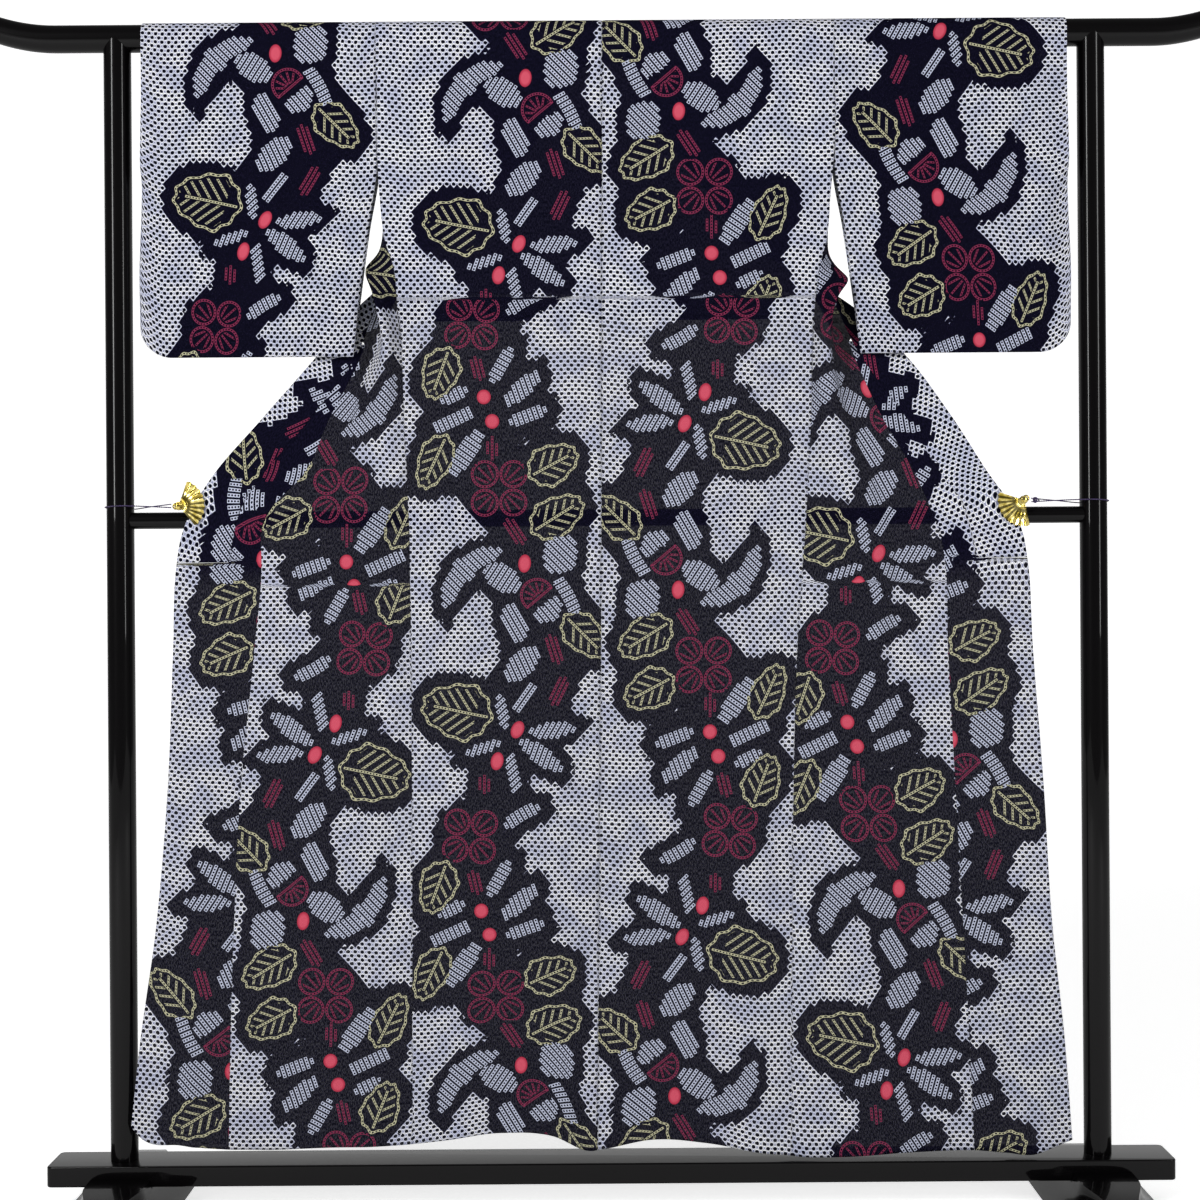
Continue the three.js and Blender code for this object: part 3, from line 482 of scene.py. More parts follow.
def cloth_piece(name, points, u, v, thin=1.0, tucked=()):
    """Makes one cut piece from a grid of points in mm and its pattern coordinates. thin is how much
    of the light behind it comes through, 0 where the cloth is folded double."""
    rows, columns = u.shape
    index = np.arange(rows * columns).reshape(rows, columns)
    faces = quads(index)
    verts = points.reshape(-1, 3)
    flat_u, flat_v = u.ravel(), v.ravel()
    thin = np.broadcast_to(thin, u.shape).ravel()
    for strip, strip_u, strip_v in tucked:
        n, m = strip_u.shape
        more = np.arange(n * m).reshape(n, m) + len(verts)
        faces = np.concatenate([faces, quads(more)])
        verts = np.concatenate([verts, strip.reshape(-1, 3)])
        flat_u, flat_v = np.append(flat_u, strip_u.ravel()), np.append(flat_v, strip_v.ravel())
        thin = np.append(thin, np.ones(n * m))
    mesh = bpy.data.meshes.new(name)
    mesh.from_pydata((verts * MM).tolist(), [], faces.tolist())
    mesh.polygons.foreach_set("use_smooth", np.ones(len(faces), bool))
    corner_u, corner_v = flat_u[faces], flat_v[faces]
    which, turns, _ = nearest(corner_u.mean(1), corner_v.mean(1))
    c, s = local(corner_u, corner_v, which[:, None], turns[:, None])
    bend = motif("skew")[which] - 2 * motif("bend")[which] * c.mean(1)
    size = np.stack([motif("across")[which], motif("along")[which], bend], -1)
    _, _, here = nearest(flat_u, flat_v)
    grow = [
        (nearest(flat_u + SLOPE_STEP * a, flat_v + SLOPE_STEP * b)[2] - here) / SLOPE_STEP
        for a, b in ((1, 0), (0, 1))
    ]
    ground = np.stack([here - MARGIN, *grow], -1)
    # Threads are never quite straight, so the dye's coordinates wander by a mm or two.
    wavy_u = flat_u + 1.3 * np.sin(flat_v / 41 + np.sin(flat_u / 23)) + 0.8 * np.sin(flat_v / 17)
    wavy_v = flat_v + 1.6 * np.sin(flat_u / 37 + np.sin(flat_v / 61)) + 1.0 * np.sin(flat_u / 15)
    far_out = here[faces].min(1) > MARGIN + RING_WIDE
    mesh.polygons.foreach_set("material_index", np.where(far_out, 0, motif("kind")[which]).astype(int))
    uv = mesh.uv_layers.new(name="cloth")
    uv.data.foreach_set("uv", (np.stack([wavy_u, wavy_v], -1)[faces] * MM).ravel())
    for label, domain, data in (
        ("motif_place", "CORNER", np.stack([c, s, 0 * c], -1).reshape(-1, 3)),
        ("motif_size", "CORNER", np.repeat(size, 4, 0)),
        ("ground", "POINT", ground),
    ):
        mesh.attributes.new(label, "FLOAT_VECTOR", domain).data.foreach_set("vector", data.ravel())
    mesh.attributes.new("thin", "FLOAT", "POINT").data.foreach_set("value", thin)
    mesh.update()
    obj = bpy.data.objects.new(name, mesh)
    bpy.context.scene.collection.objects.link(obj)
    shell = obj.modifiers.new("shell", "SOLIDIFY")
    shell.thickness = SHELL * MM
    shell.offset = 0.0
    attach(obj, "root")
    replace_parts(obj, name.replace("_cloth", ""))
    print(name, len(faces), "faces")
    return obj


print("the cloth's shell is", SHELL, "mm thick")

# %% [markdown]
# ## Measuring on the cloth
#
# Creases rise along the cloth's normal, and the dye follows its threads. Both are measured on the
# finished grid of points.

# %%
def normals(points):
    """Unit normals of a grid of points, from its steps along and down."""
    down = np.gradient(points, axis=0)
    side = np.gradient(points, axis=1)
    n = np.cross(side, down)
    return n / np.linalg.norm(n, axis=-1, keepdims=True)


def grain(points, column, row):
    """The cloth's own coordinates on a grid of points, in mm. The way across is 0 at one column.
    The way down is 0 at one row of the first column, and along that column it is its length. From
    there each step to the side is split into its part across the threads and its part along them,
    and the parts are added up."""
    down = np.gradient(points, axis=0)
    down = down / np.linalg.norm(down, axis=-1, keepdims=True)
    step = np.diff(points, axis=1)
    thread = down[:, 1:] + down[:, :-1]
    thread = thread / np.linalg.norm(thread, axis=-1, keepdims=True)
    with_thread = (step * thread).sum(-1)
    past_thread = np.sqrt(np.maximum((step * step).sum(-1) - with_thread**2, 0.0))
    zero = np.zeros((len(points), 1))
    w = np.concatenate([zero, np.cumsum(past_thread, 1)], 1)
    s = np.concatenate([zero, np.cumsum(with_thread, 1)], 1)
    run = np.cumsum(np.linalg.norm(np.diff(points[:, 0], axis=0), axis=-1))
    run = np.concatenate([[0.0], run])[:, None]
    return w - w[:, column : column + 1], run - run[row] + s


# %% [markdown]
# ## Backs, fronts and overlaps
#
# The two backs hang from the fold to the hem. At the waist the wearer's height is taken in by a
# tuck on the inside, so the pattern jumps at its seam and a second and third layer lie behind it.
# The fronts are the same lengths of cloth carried over the shoulder, so their pattern runs the
# other way up.

# %%
GRID_Z = 5.0
TUCK_TOP, TUCK_BOTTOM, FRONT_TUCK = 1303.0, 1269.0, 890.0
SIDES = {"left": (-1, LEFT_ROWS), "right": (1, RIGHT_ROWS)}


def grid(columns, top, bottom, spacing=GRID_Z):
    """Places across from 0 to 1, and ways down with closer rows on the rail."""
    arc = np.linspace(0, QUARTER, 12)[:-1] if top >= RAIL_HEIGHT else np.empty(0)
    start = QUARTER if top >= RAIL_HEIGHT else down_to(top)
    hanging = np.linspace(start, down_to(bottom), int(round((down_to(bottom) - start) / spacing)) + 1)
    down = np.concatenate([arc, hanging])
    return np.broadcast_to(np.linspace(0, 1, columns + 1), (len(down), columns + 1)), np.repeat(
        down[:, None], columns + 1, 1)


def row_at(down, z):
    """The grid's row nearest to a height."""
    return int(np.argmin(np.abs(down[:, 0] - down_to(z))))


# %% [markdown]
# ### The main creases
#
# Cloth that has been folded and then hung keeps long shallow creases, mostly upright. Each row of
# these tables is one crease: its way from the seam, the heights between which it runs, its width
# and height, and how far it drifts to the side in each mm of fall.

# %%
CREASE_COLUMNS = ("w", "top", "bottom", "width", "height", "drift")
BACK_CREASES = {
    "left": (
        (34, 1640, 900, 12, 1.8, 0.02), (92, 1240, 120, 15, -2.4, 0.01), (128, 1200, 300, 10, 2.0, -0.02),
        (176, 1560, 700, 14, 2.2, 0.03), (214, 1180, 90, 11, -2.0, 0.01), (246, 1240, 260, 9, 1.8, 0.0),
    ),
    "right": (
        (30, 1260, 300, 10, -1.6, 0.01), (74, 1600, 820, 13, 2.0, 0.03), (118, 1230, 90, 14, 2.4, 0.01),
        (168, 1200, 420, 11, -2.2, -0.02), (205, 1540, 860, 15, 2.0, 0.02), (238, 1220, 140, 10, 2.2, 0.0),
    ),
}
FRONT_CREASES = {
    "left": (
        (24, 1180, 300, 9, 2.0, 0.02), (62, 1290, 560, 10, 3.2, 0.09), (104, 1280, 420, 12, -3.0, 0.05),
        (146, 1310, 700, 9, 3.0, 0.02), (182, 1300, 500, 11, -2.6, -0.02), (214, 1290, 360, 9, 2.4, -0.03),
    ),
    "right": (
        (30, 1200, 380, 10, -2.0, 0.01), (70, 1300, 640, 9, 3.0, 0.08), (98, 1290, 380, 12, -2.8, 0.05),
        (138, 1320, 620, 10, 3.2, 0.03), (176, 1290, 540, 12, 2.4, -0.01), (220, 1300, 420, 9, -2.2, -0.03),
    ),
}


def creases(rows, w, z):
    """The main creases of a panel: each is a soft ridge or, with a negative height, a trough. Its
    middle is w from the seam at 900 mm and drifts to the side as it falls, and it fades out over a
    quarter of its length at both ends."""
    total = np.zeros_like(w)
    for middle, top, bottom, width, height, drift in rows:
        fade = (top - bottom) / 4
        here = smooth(z, bottom, bottom + fade) * smooth(top - z, 0, fade)
        total += height * ridge(w - middle - drift * (900 - z), width) * here
    return total


print(sum(len(c) for t in (BACK_CREASES, FRONT_CREASES) for c in t.values()), "creases placed")

# %% [markdown]
# ### The body of the robe
#
# The two backs meet at the centre seam. The waist tuck makes the garland jump by its hidden width.
# The numbers that place the garland on each piece were measured as the height of its first bud and
# the way from the seam to its middle.

# %%
BACK_BUD, BACK_MIDDLE, BACK_JUMP = {"left": 921.0, "right": 882.0}, 154.0, {"left": 40.0, "right": 50.0}
FRONT_BUD, FRONT_JUMP = {"left": 411.0, "right": 452.0}, 18.0
FRONT_MIDDLE = {"left": (93.0, 0.037, 950.0), "right": (82.0, 0.075, 800.0)}
OKUMI_BUD, OKUMI_MIDDLE = {"left": 932.0, "right": 664.0}, 46.0


def edges_free(down, across):
    """1 in the open cloth, and 0 at the side seams and where the cloth lies on the rail."""
    hanging = smooth(down, QUARTER + 20, QUARTER + 160)
    return hanging * smooth(across, 0, 0.08) * smooth(1 - across, 0, 0.08)


def back(label):
    """One back with its tuck. Its lift is the crumple, the creases, a groove at the tuck's seam, a
    ridge at its lower edge, and a groove at the centre seam."""
    sign, rows = SIDES[label]
    across, down = grid(60, RAIL_HEIGHT, HEM_ROW)
    points = back_place(sign, rows, across, down)
    x, z = points[..., 0], points[..., 2]
    from_centre = np.abs(x - points[:, :1, 0])
    run = down - down_to(BACK_BUD[label]) - BACK_JUMP[label] * smooth(z, TUCK_TOP - 1, TUCK_TOP + 1)
    u, v = BACK_MIDDLE - from_centre, run if label == "left" else -run
    free = edges_free(down, across)
    lift = 1.3 * crumple(x, z, 3 + sign) * free + creases(BACK_CREASES[label], from_centre, z) * free
    lift += 1.5 * ridge(z - TUCK_BOTTOM, 5) * free - 2.0 * ridge(z - TUCK_TOP, 3.0) * free
    lift -= 1.8 * ridge(from_centre, 2.2)
    points = points + lift[..., None] * np.array([0.0, -1.0, 0.0])
    top, bottom = row_at(down, TUCK_TOP), row_at(down, TUCK_BOTTOM)
    strip = points[top : bottom + 1] + np.array([0.0, 2.2, 0.0])
    tuck = (strip, u[top : bottom + 1], v[top : bottom + 1])
    thin = mix(1.0, 0.35, smooth(z, TUCK_TOP - 2, TUCK_TOP + 4))
    return cloth_piece(f"back_{label}_cloth", points, u, v, thin, [tuck])


def front(label):
    """One front. Its threads run upright, so the garland's middle wanders from the side seam as the
    panel's cut narrows."""
    sign, rows = SIDES[label]
    across, down = grid(64, RAIL_HEIGHT, HEM_ROW)
    points = front_place(sign, rows, across, down)
    z = points[..., 2]
    steps = np.linalg.norm(np.diff(points, axis=1), axis=-1)
    from_side = np.concatenate([np.zeros((len(points), 1)), np.cumsum(steps, 1)], 1)
    from_seam = from_side[:, -1:] - from_side
    run = down - down_to(FRONT_BUD[label]) - FRONT_JUMP * smooth(z, FRONT_TUCK - 1, FRONT_TUCK + 1)
    middle, drift, level = FRONT_MIDDLE[label]
    u, v = from_side - middle - drift * (level - z), -run if label == "left" else run
    free = edges_free(down, across)
    lift = 1.2 * crumple(from_seam, run, 13 + sign) * free
    lift += creases(FRONT_CREASES[label], from_seam, z) * free - 1.6 * ridge(z - FRONT_TUCK, 3.0) * free
    points = points + lift[..., None] * normals(points)
    return cloth_piece(f"front_{label}_cloth", points, u, v)


def overlap(label):
    """One overlap panel. Above the collar's end it is the strip between the two seams, and below
    it also takes the collar's place."""
    sign, rows = SIDES[label]
    upper = grid(1, OKUMI_TOP, COLLAR_END)[1][:, 0]
    lower = grid(1, COLLAR_END - 0.4, HEM_ROW)[1][:, 0]
    down = np.append(upper, lower)[:, None]
    z, _ = hang(down)
    share = np.linspace(0, 1, 35)[None, :]
    cut = along([r[0] for r in OKUMI_CUT], [r[1] for r in OKUMI_CUT], z)
    whole = np.where(np.arange(len(down))[:, None] < len(upper), cut, cut + COLLAR_CUT)
    w = share * whole
    across = np.where(w <= cut, 1 + w / cut, 2 + (w - cut) / COLLAR_CUT)
    down = np.broadcast_to(down, w.shape)
    points = front_place(sign, rows, across, down)
    w, run = grain(points, 0, row_at(down, OKUMI_BUD[label]))
    free = smooth(share, 0, 0.1) * smooth(1 - share, 0, 0.1) * smooth(OKUMI_TOP - z, 0, 60)
    lift = (crumple(w, run, 23 + sign) + 2.2 * ridge(w - 52, 9) * smooth(820 - z, 0, 200)) * free
    points = points + lift[..., None] * normals(points)
    thin = np.broadcast_to(smooth(COLLAR_END - z, -20, 40), w.shape)
    v = -run if label == "left" else run
    return cloth_piece(f"okumi_{label}_cloth", points, w + OKUMI_MIDDLE, v, thin)


backs = [back(label) for label in SIDES]
fronts = [front(label) for label in SIDES]
overlaps = [overlap(label) for label in SIDES]

# %% [markdown]
# ## Collar and sleeves
#
# The collar is one long band. It comes up one front, lies over the rail behind the neck and runs
# down the other front. A sleeve is one length of cloth folded over the rail.

# %%
COLLAR_MIDDLE, COLLAR_BUD = 91.0, -234.0
SLEEVE_MIDDLE, SLEEVE_CUT = 151.0, 340.0
SLEEVE_BUD = {"left": 1654.7, "right": 1442.6}


def collar():
    """The band. At its lower ends the garland runs on from the overlaps."""
    shares = np.linspace(0, 1, 15)
    left = collar_rows(-1, LEFT_ROWS, shares, GRID_Z)
    right = collar_rows(1, RIGHT_ROWS, shares, GRID_Z)
    points = np.concatenate([left, right[::-1][1:]])
    w, run = grain(points, 0, len(left) - 1)
    return cloth_piece("collar_cloth", points, w + COLLAR_MIDDLE, run - COLLAR_BUD, thin=0.0)


def sleeve(label):
    """One sleeve, from its back layer's bottom over the rail to its front layer's bottom, with closer
    columns at the rounded corner. A long soft fold falls down its middle."""
    sign, rows = SIDES[label]
    one = grid(1, RAIL_HEIGHT, SLEEVE_BOTTOM)[1][:, 0]
    ways = np.concatenate([-one[::-1], one[1:]])
    places = np.append(np.linspace(0, 0.86, 62), 1 - 0.14 * np.linspace(1, 0, 17)[1:] ** 1.6)
    across, way = np.meshgrid(places, ways)
    points = sleeve_place(sign, rows, across, way)
    x, z = points[..., 0], points[..., 2]
    run = way + down_to(SLEEVE_BUD[label])
    u, v = (1 - across) * SLEEVE_CUT - SLEEVE_MIDDLE, -run if label == "left" else run
    free = smooth(np.abs(way), QUARTER + 15, QUARTER + 120) * smooth(1 - across, 0, 0.1)
    free = free * smooth(z, SLEEVE_BOTTOM, SLEEVE_BOTTOM + 50)
    lift = 1.1 * crumple(x, z + 300 * np.sign(way), 33 + sign) * free
    lift += 1.2 * ridge(x - sign * (500 + 0.06 * (1500 - z)), 12) * free
    points = points + (lift * np.sign(way))[..., None] * np.array([0.0, 1.0, 0.0])
    return cloth_piece(f"sleeve_{label}_cloth", points, u, v)


collar_obj = collar()
sleeves = [sleeve(label) for label in SIDES]
print("all the cloth:", sum(len(o.data.polygons) for o in (*backs, *fronts, *overlaps, collar_obj, *sleeves)))

# %% [markdown]
# ## Shader helper
#
# Shader nodes do arithmetic one step at a time. This small class lets a formula be written as
# usual, and adds the Math nodes for it.

# %%
def linear(code, alpha=1.0):
    """A hex colour as the renderer's linear values."""
    parts = [int(code[i : i + 2], 16) / 255 for i in (1, 3, 5)]
    return (*[c / 12.92 if c <= 0.04045 else ((c + 0.055) / 1.055) ** 2.4 for c in parts], alpha)


class Field:
    """A number that the shader works out at each place."""

    def __init__(self, tree, socket):
        self.tree, self.socket = tree, socket

    def make(self, operation, *inputs, clamp=False):
        node = self.tree.nodes.new("ShaderNodeMath")
        node.operation = operation
        node.use_clamp = clamp
        for k, value in enumerate(inputs):
            if isinstance(value, Field):
                self.tree.links.new(value.socket, node.inputs[k])
            else:
                node.inputs[k].default_value = float(value)
        return Field(self.tree, node.outputs[0])

    def __add__(self, other):
        return self.make("ADD", self, other)

    def __radd__(self, other):
        return self.make("ADD", other, self)

    def __sub__(self, other):
        return self.make("SUBTRACT", self, other)

    def __rsub__(self, other):
        return self.make("SUBTRACT", other, self)

    def __mul__(self, other):
        return self.make("MULTIPLY", self, other)

    def __rmul__(self, other):
        return self.make("MULTIPLY", other, self)

    def __truediv__(self, other):
        return self.make("DIVIDE", self, other)

    def __neg__(self):
        return self.make("MULTIPLY", self, -1)

    def power(self, other):
        return self.make("POWER", self, other)

    def floor(self):
        return self.make("FLOOR", self)

    def size(self):
        return self.make("ABSOLUTE", self)

    def root(self):
        return self.make("SQRT", self.make("MAXIMUM", self, 0.0))

    def most(self, other):
        return self.make("MAXIMUM", self, other)

    def least(self, other):
        return self.make("MINIMUM", self, other)

    def cosine(self):
        return self.make("COSINE", self)

    def turn(self, other):
        return self.make("ARCTAN2", self, other)

    def under(self, other):
        return self.make("LESS_THAN", self, other)

    def over(self, other):
        return self.make("GREATER_THAN", self, other)

    def rise(self, low, high):
        """0 below low and 1 above high, with a soft S between."""
        node = self.tree.nodes.new("ShaderNodeMapRange")
        node.interpolation_type = "SMOOTHSTEP"
        self.tree.links.new(self.socket, node.inputs["Value"])
        node.inputs["From Min"].default_value = low
        node.inputs["From Max"].default_value = high
        return Field(self.tree, node.outputs[0])

    def fall(self, low, high):
        """1 below low and 0 above high."""
        return 1 - self.rise(low, high)


def hypot(a, b):
    """The length of the slant side over a and b."""
    return (a * a + b * b).root()


def new_material(name):
    """An empty material, its node tree and its main shader node."""
    material = bpy.data.materials.new(name)
    material.use_nodes = True
    tree = material.node_tree
    return material, tree, tree.nodes["Principled BSDF"]


def blend(tree, share, a, b):
    """Mixes two colours, each a hex code or a socket."""
    node = tree.nodes.new("ShaderNodeMix")
    node.data_type = "RGBA"
    for socket, value in ((node.inputs[0], share), (node.inputs[6], a), (node.inputs[7], b)):
        if isinstance(value, Field):
            tree.links.new(value.socket, socket)
        elif isinstance(value, str):
            socket.default_value = linear(value)
        else:
            tree.links.new(value, socket)
    return node.outputs[2]


def noise(tree, vector, scale, detail=2.0):
    """Soft random values between 0 and 1, scale of them in a metre."""
    node = tree.nodes.new("ShaderNodeTexNoise")
    node.inputs["Scale"].default_value = scale
    node.inputs["Detail"].default_value = detail
    tree.links.new(vector, node.inputs["Vector"])
    return Field(tree, node.outputs[0])


# %% [markdown]
# ## The dyed cotton
#
# A ring is what a thread tied round a pinch of cloth keeps white: a pale wall with a dark middle.
# A chain is a row of the smallest rings. Whole rings are kept or left out along the dark band, as
# a dyer ties or doesn't tie them, so the band's edge is toothed. The cloth is thin, and a little of
# the light behind it comes through.
#
# The formulas for the motifs all take the same values: c across the motif and s along it, its half
# width and half length, and the slope of its steps.

# %%
LINK, BAR, VEIN, STEM = 4.5, 7.4, 15.5, 6.4
BAR_HALF, OUTLINE_HALF, RIB_HALF, VEIN_HALF, RAY_HALF = 2.35, 1.8, 1.7, 1.5, 1.4


def chain(t, s, half, pitch=LINK):
    """A row of small rings: t across it, s along it. Each has a dark oval middle, 0.64 of the half
    width across and 1.5 mm along, and a faint line parts it from the next. Returns the pattern and
    the place of the ring's middle along s."""
    middle = ((s / pitch).floor() + 0.5) * pitch
    ds = s - middle
    body = t.size().fall(half - 0.5, half + 0.35)
    hole = hypot(t / (0.64 * half), ds / 1.5).fall(0.88, 1.1)
    part = ds.size().rise(pitch / 2 - 0.5, pitch / 2)
    return body * (1 - hole) * (1 - 0.5 * part), middle


def petal(c, s, wide, long, skew):
    """Bars of chains, whose ends follow the petal's ellipse."""
    bar = ((c / BAR).floor() + 0.5) * BAR
    t = c - bar
    links, link = chain(t, s + skew * t, BAR_HALF)
    end = long * (1 - (bar / wide) * (bar / wide)).root()
    return links * link.size().under(end) * bar.size().under(wide)


def leaf(c, s, wide, long, skew):
    """A scalloped outline, a midrib and slanting side veins. The leaf is broadest near its base. The
    outline is where the ellipse's radius is 1, made uneven by two cosines of the angle. The veins
    slope by 0.95, so their spacing across is 0.725 of that along, and their length 1.38 of c."""
    egg = wide * (1 - 0.22 * (s / long))
    x, y = c / egg, s / long
    angle = x.turn(y)
    r = hypot(x, y) * (1 + 0.045 * (angle * 11).cosine() + 0.03 * (angle * 5).cosine()) + 0.001
    slope = hypot(c / (egg * egg), s / (long * long)) + 0.0001
    depth = (1 - r) * r / slope
    outline, _ = chain(depth - 3.2, angle * 30, OUTLINE_HALF)
    way = (s - 0.95 * c.size()) / VEIN
    veins, _ = chain((way - way.floor() - 0.5) * VEIN * 0.725, c.size() * 1.38, VEIN_HALF)
    rib, _ = chain(c, s, RIB_HALF)
    inside = depth.over(8.5)
    veins = veins * inside * c.size().over(3.6) * (s + 0.55 * long).over(0.0)
    return outline.most(veins).most(rib * inside * s.under(0.62 * long))


def flower(c, s, wide, long, skew):
    """Four round petals, each with three rays from the flower's middle. The lobes' middles are half
    the flower's reach out on both axes, and the rays are 0.34 radians apart."""
    fx, fy = c.size() - 0.5 * wide, s.size() - 0.5 * wide
    lobe = hypot(fx, fy)
    rim, _ = chain(lobe - 0.44 * wide, fx.turn(fy) * (0.44 * wide), OUTLINE_HALF)
    angle = (c.size().turn(s.size()) - math.pi / 4) / 0.34
    ray = (angle + 0.5).floor().most(-1.0).least(1.0)
    far = hypot(c, s)
    rays, _ = chain((angle - ray) * 0.34 * far, far, RAY_HALF)
    return rim.most(rays * lobe.under(0.44 * wide - 4.5) * far.over(0.2 * wide))


def half_flower(c, s, wide, long, skew):
    """One dome, cut off below the middle of a circle, with rays 0.42 radians apart from its base."""
    base = s + 0.3 * wide
    cut = (hypot(c, s) - wide).most(-base)
    dome, _ = chain(cut + 2.6, c.turn(s) * wide, OUTLINE_HALF)
    angle = c.turn(base) / 0.42
    far = hypot(c, base)
    fans, _ = chain((angle - (angle + 0.5).floor()) * 0.42 * far, far, RAY_HALF)
    return dome.most(fans * cut.under(-6.5) * far.over(0.3 * wide))


def stems(c, s, wide, long, skew):
    """Three chains side by side, the outer ones shorter."""
    stem = (c / STEM + 0.5).floor().most(-1.0).least(1.0)
    links, link = chain(c - stem * STEM, s + stem * 1.3, RIB_HALF)
    return links * link.size().under(long - 5.0 * stem.size())


def bud(c, s, wide, long, skew):
    """A solid oval."""
    return hypot(c / wide, s / long).fall(0.94, 1.04)


DRAWN = {
    PETAL: ("petals", petal, "#d0d6ec"),
    LEAF: ("leaves", leaf, "#cfcca8"),
    FLOWER: ("flowers", flower, "#8c3352"),
    HALF_FLOWER: ("half_flowers", half_flower, "#8c3352"),
    STEMS: ("stems", stems, "#8c3352"),
    BUD: ("buds", bud, "#cf5367"),
}


print(len(DRAWN), "kinds of motif")

# %% [markdown]
# ### The tied ground
#
# The rings stand in rows, each row half a ring to the side of the last. The yarn makes the dark
# middles uneven, as no two knots are tied alike.

# %%
def lattice(u, v, yarn, ground, grow_u, grow_v):
    """The rings of the ground. A ring's cell is a rhombus with round corners. It is kept where its
    own middle, reached by the distance's slope, is outside the dark band. Returns the ring's wall,
    its dark middle, and whether it is kept."""
    a, b = u / RING_WIDE + v / RING_HIGH, u / RING_WIDE - v / RING_HIGH
    ca, cb = a.floor() + 0.5, b.floor() + 0.5
    du = u - (ca + cb) * (RING_WIDE / 2)
    dv = v - (ca - cb) * (RING_HIGH / 2)
    kept = (ground - grow_u * du - grow_v * dv).over(0.0)
    pa, pb = (a - ca).size() * 2, (b - cb).size() * 2
    edge = (pa.power(3.4) + pb.power(3.4)).power(1 / 3.4)
    hole = (hypot(du / 3.0, dv / 2.75) + 0.5 * yarn).fall(1.1, 1.34)
    return edge.fall(0.84, 1.0) * (1 - hole), hole, kept


def cotton(name, draw=None, code=None):
    """The dyed cloth where one kind of motif is drawn, or the lattice alone."""
    material, tree, bsdf = new_material(name)

    def vector(label):
        node = tree.nodes.new("ShaderNodeAttribute")
        node.attribute_name = label
        split = tree.nodes.new("ShaderNodeSeparateXYZ")
        tree.links.new(node.outputs["Vector"], split.inputs[0])
        return [Field(tree, split.outputs[k]) for k in range(3)]

    uv = tree.nodes.new("ShaderNodeUVMap")
    uv.uv_map = "cloth"
    split = tree.nodes.new("ShaderNodeSeparateXYZ")
    tree.links.new(uv.outputs[0], split.inputs[0])
    u, v = [Field(tree, split.outputs[k]) * 1000 for k in range(2)]
    thread = tree.nodes.new("ShaderNodeMapping")
    tree.links.new(uv.outputs[0], thread.inputs[0])
    thread.inputs["Scale"].default_value = (1.0, 0.35, 1.0)
    yarn = noise(tree, thread.outputs[0], 700, 0.0)
    wall, hole, kept = lattice(u, v, yarn, *vector("ground"))
    patch = noise(tree, uv.outputs[0], 26, 1.0)
    dark = blend(tree, yarn.rise(0.3, 0.75), "#050513", "#121024")
    white = blend(tree, patch.rise(0.3, 0.7), "#d4d8e9", "#ffffff")
    between = blend(tree, hole, "#9498b6", "#050615")
    colour = blend(tree, kept, dark, blend(tree, wall, between, white))
    pattern = wall * kept
    if draw:
        c, s, _ = vector("motif_place")
        drawn = draw(c, s, *vector("motif_size"))
        if draw is bud:
            wide, long, _ = vector("motif_size")
            code = blend(tree, hypot(c / wide, s / long).rise(0.55, 0.95), code, "#b0344a")
        colour = blend(tree, drawn, colour, code)
        pattern = pattern.most(drawn)
    tree.links.new(colour, bsdf.inputs["Base Color"])
    bsdf.inputs["Roughness"].default_value = 0.85
    bsdf.inputs["Specular IOR Level"].default_value = 0.04

    bump = tree.nodes.new("ShaderNodeBump")
    bump.inputs["Strength"].default_value = 0.35
    bump.inputs["Distance"].default_value = 0.0005
    tree.links.new(yarn.socket, bump.inputs["Height"])
    tree.links.new(bump.outputs[0], bsdf.inputs["Normal"])

    thin = tree.nodes.new("ShaderNodeAttribute")
    thin.attribute_name = "thin"
    sheer = (0.05 + 0.11 * yarn.rise(0.3, 0.7)) * (1 - 0.7 * pattern)
    alpha = 1 - Field(tree, thin.outputs["Fac"]) * sheer
    tree.links.new(alpha.socket, bsdf.inputs["Alpha"])
    return material


dyed = [cotton("cotton_lattice")]
dyed += [cotton(f"cotton_{name}", draw, code) for name, draw, code in DRAWN.values()]
for obj in (*backs, *fronts, *overlaps, collar_obj, *sleeves):
    for material in dyed:
        obj.data.materials.append(material)
print("cotton:", len(dyed), "materials")

# %% [markdown]
# ## Lacquer, brass and silk
#
# The stand is wood under black lacquer: a dark base under a hard clear coat that mirrors the
# lights as thin bright lines. The clips are polished brass, and the cords purple silk.

# %%
def lacquer():
    """Black under a thin clear coat, whose mirror is a little wavy from the brush."""
    material, tree, bsdf = new_material("black_lacquer")
    where = tree.nodes.new("ShaderNodeTexCoord")
    ripple = noise(tree, where.outputs["Object"], 14, 1.0)
    bump = tree.nodes.new("ShaderNodeBump")
    bump.inputs["Strength"].default_value = 0.04
    bump.inputs["Distance"].default_value = 0.001
    tree.links.new(ripple.socket, bump.inputs["Height"])
    tree.links.new(bump.outputs[0], bsdf.inputs["Coat Normal"])
    bsdf.inputs["Base Color"].default_value = linear("#060506")
    bsdf.inputs["Roughness"].default_value = 0.3
    bsdf.inputs["Specular IOR Level"].default_value = 0.02
    bsdf.inputs["Coat Weight"].default_value = 0.25
    bsdf.inputs["Coat Roughness"].default_value = 0.04
    return material


def brass():
    """Polished brass, duller in patches."""
    material, tree, bsdf = new_material("polished_brass")
    where = tree.nodes.new("ShaderNodeTexCoord")
    wear = noise(tree, where.outputs["Object"], 120, 3.0)
    colour = blend(tree, wear.rise(0.35, 0.7), "#94802f", "#ead98c")
    tree.links.new(colour, bsdf.inputs["Base Color"])
    bsdf.inputs["Metallic"].default_value = 1.0
    bsdf.inputs["Roughness"].default_value = 0.17
    return material


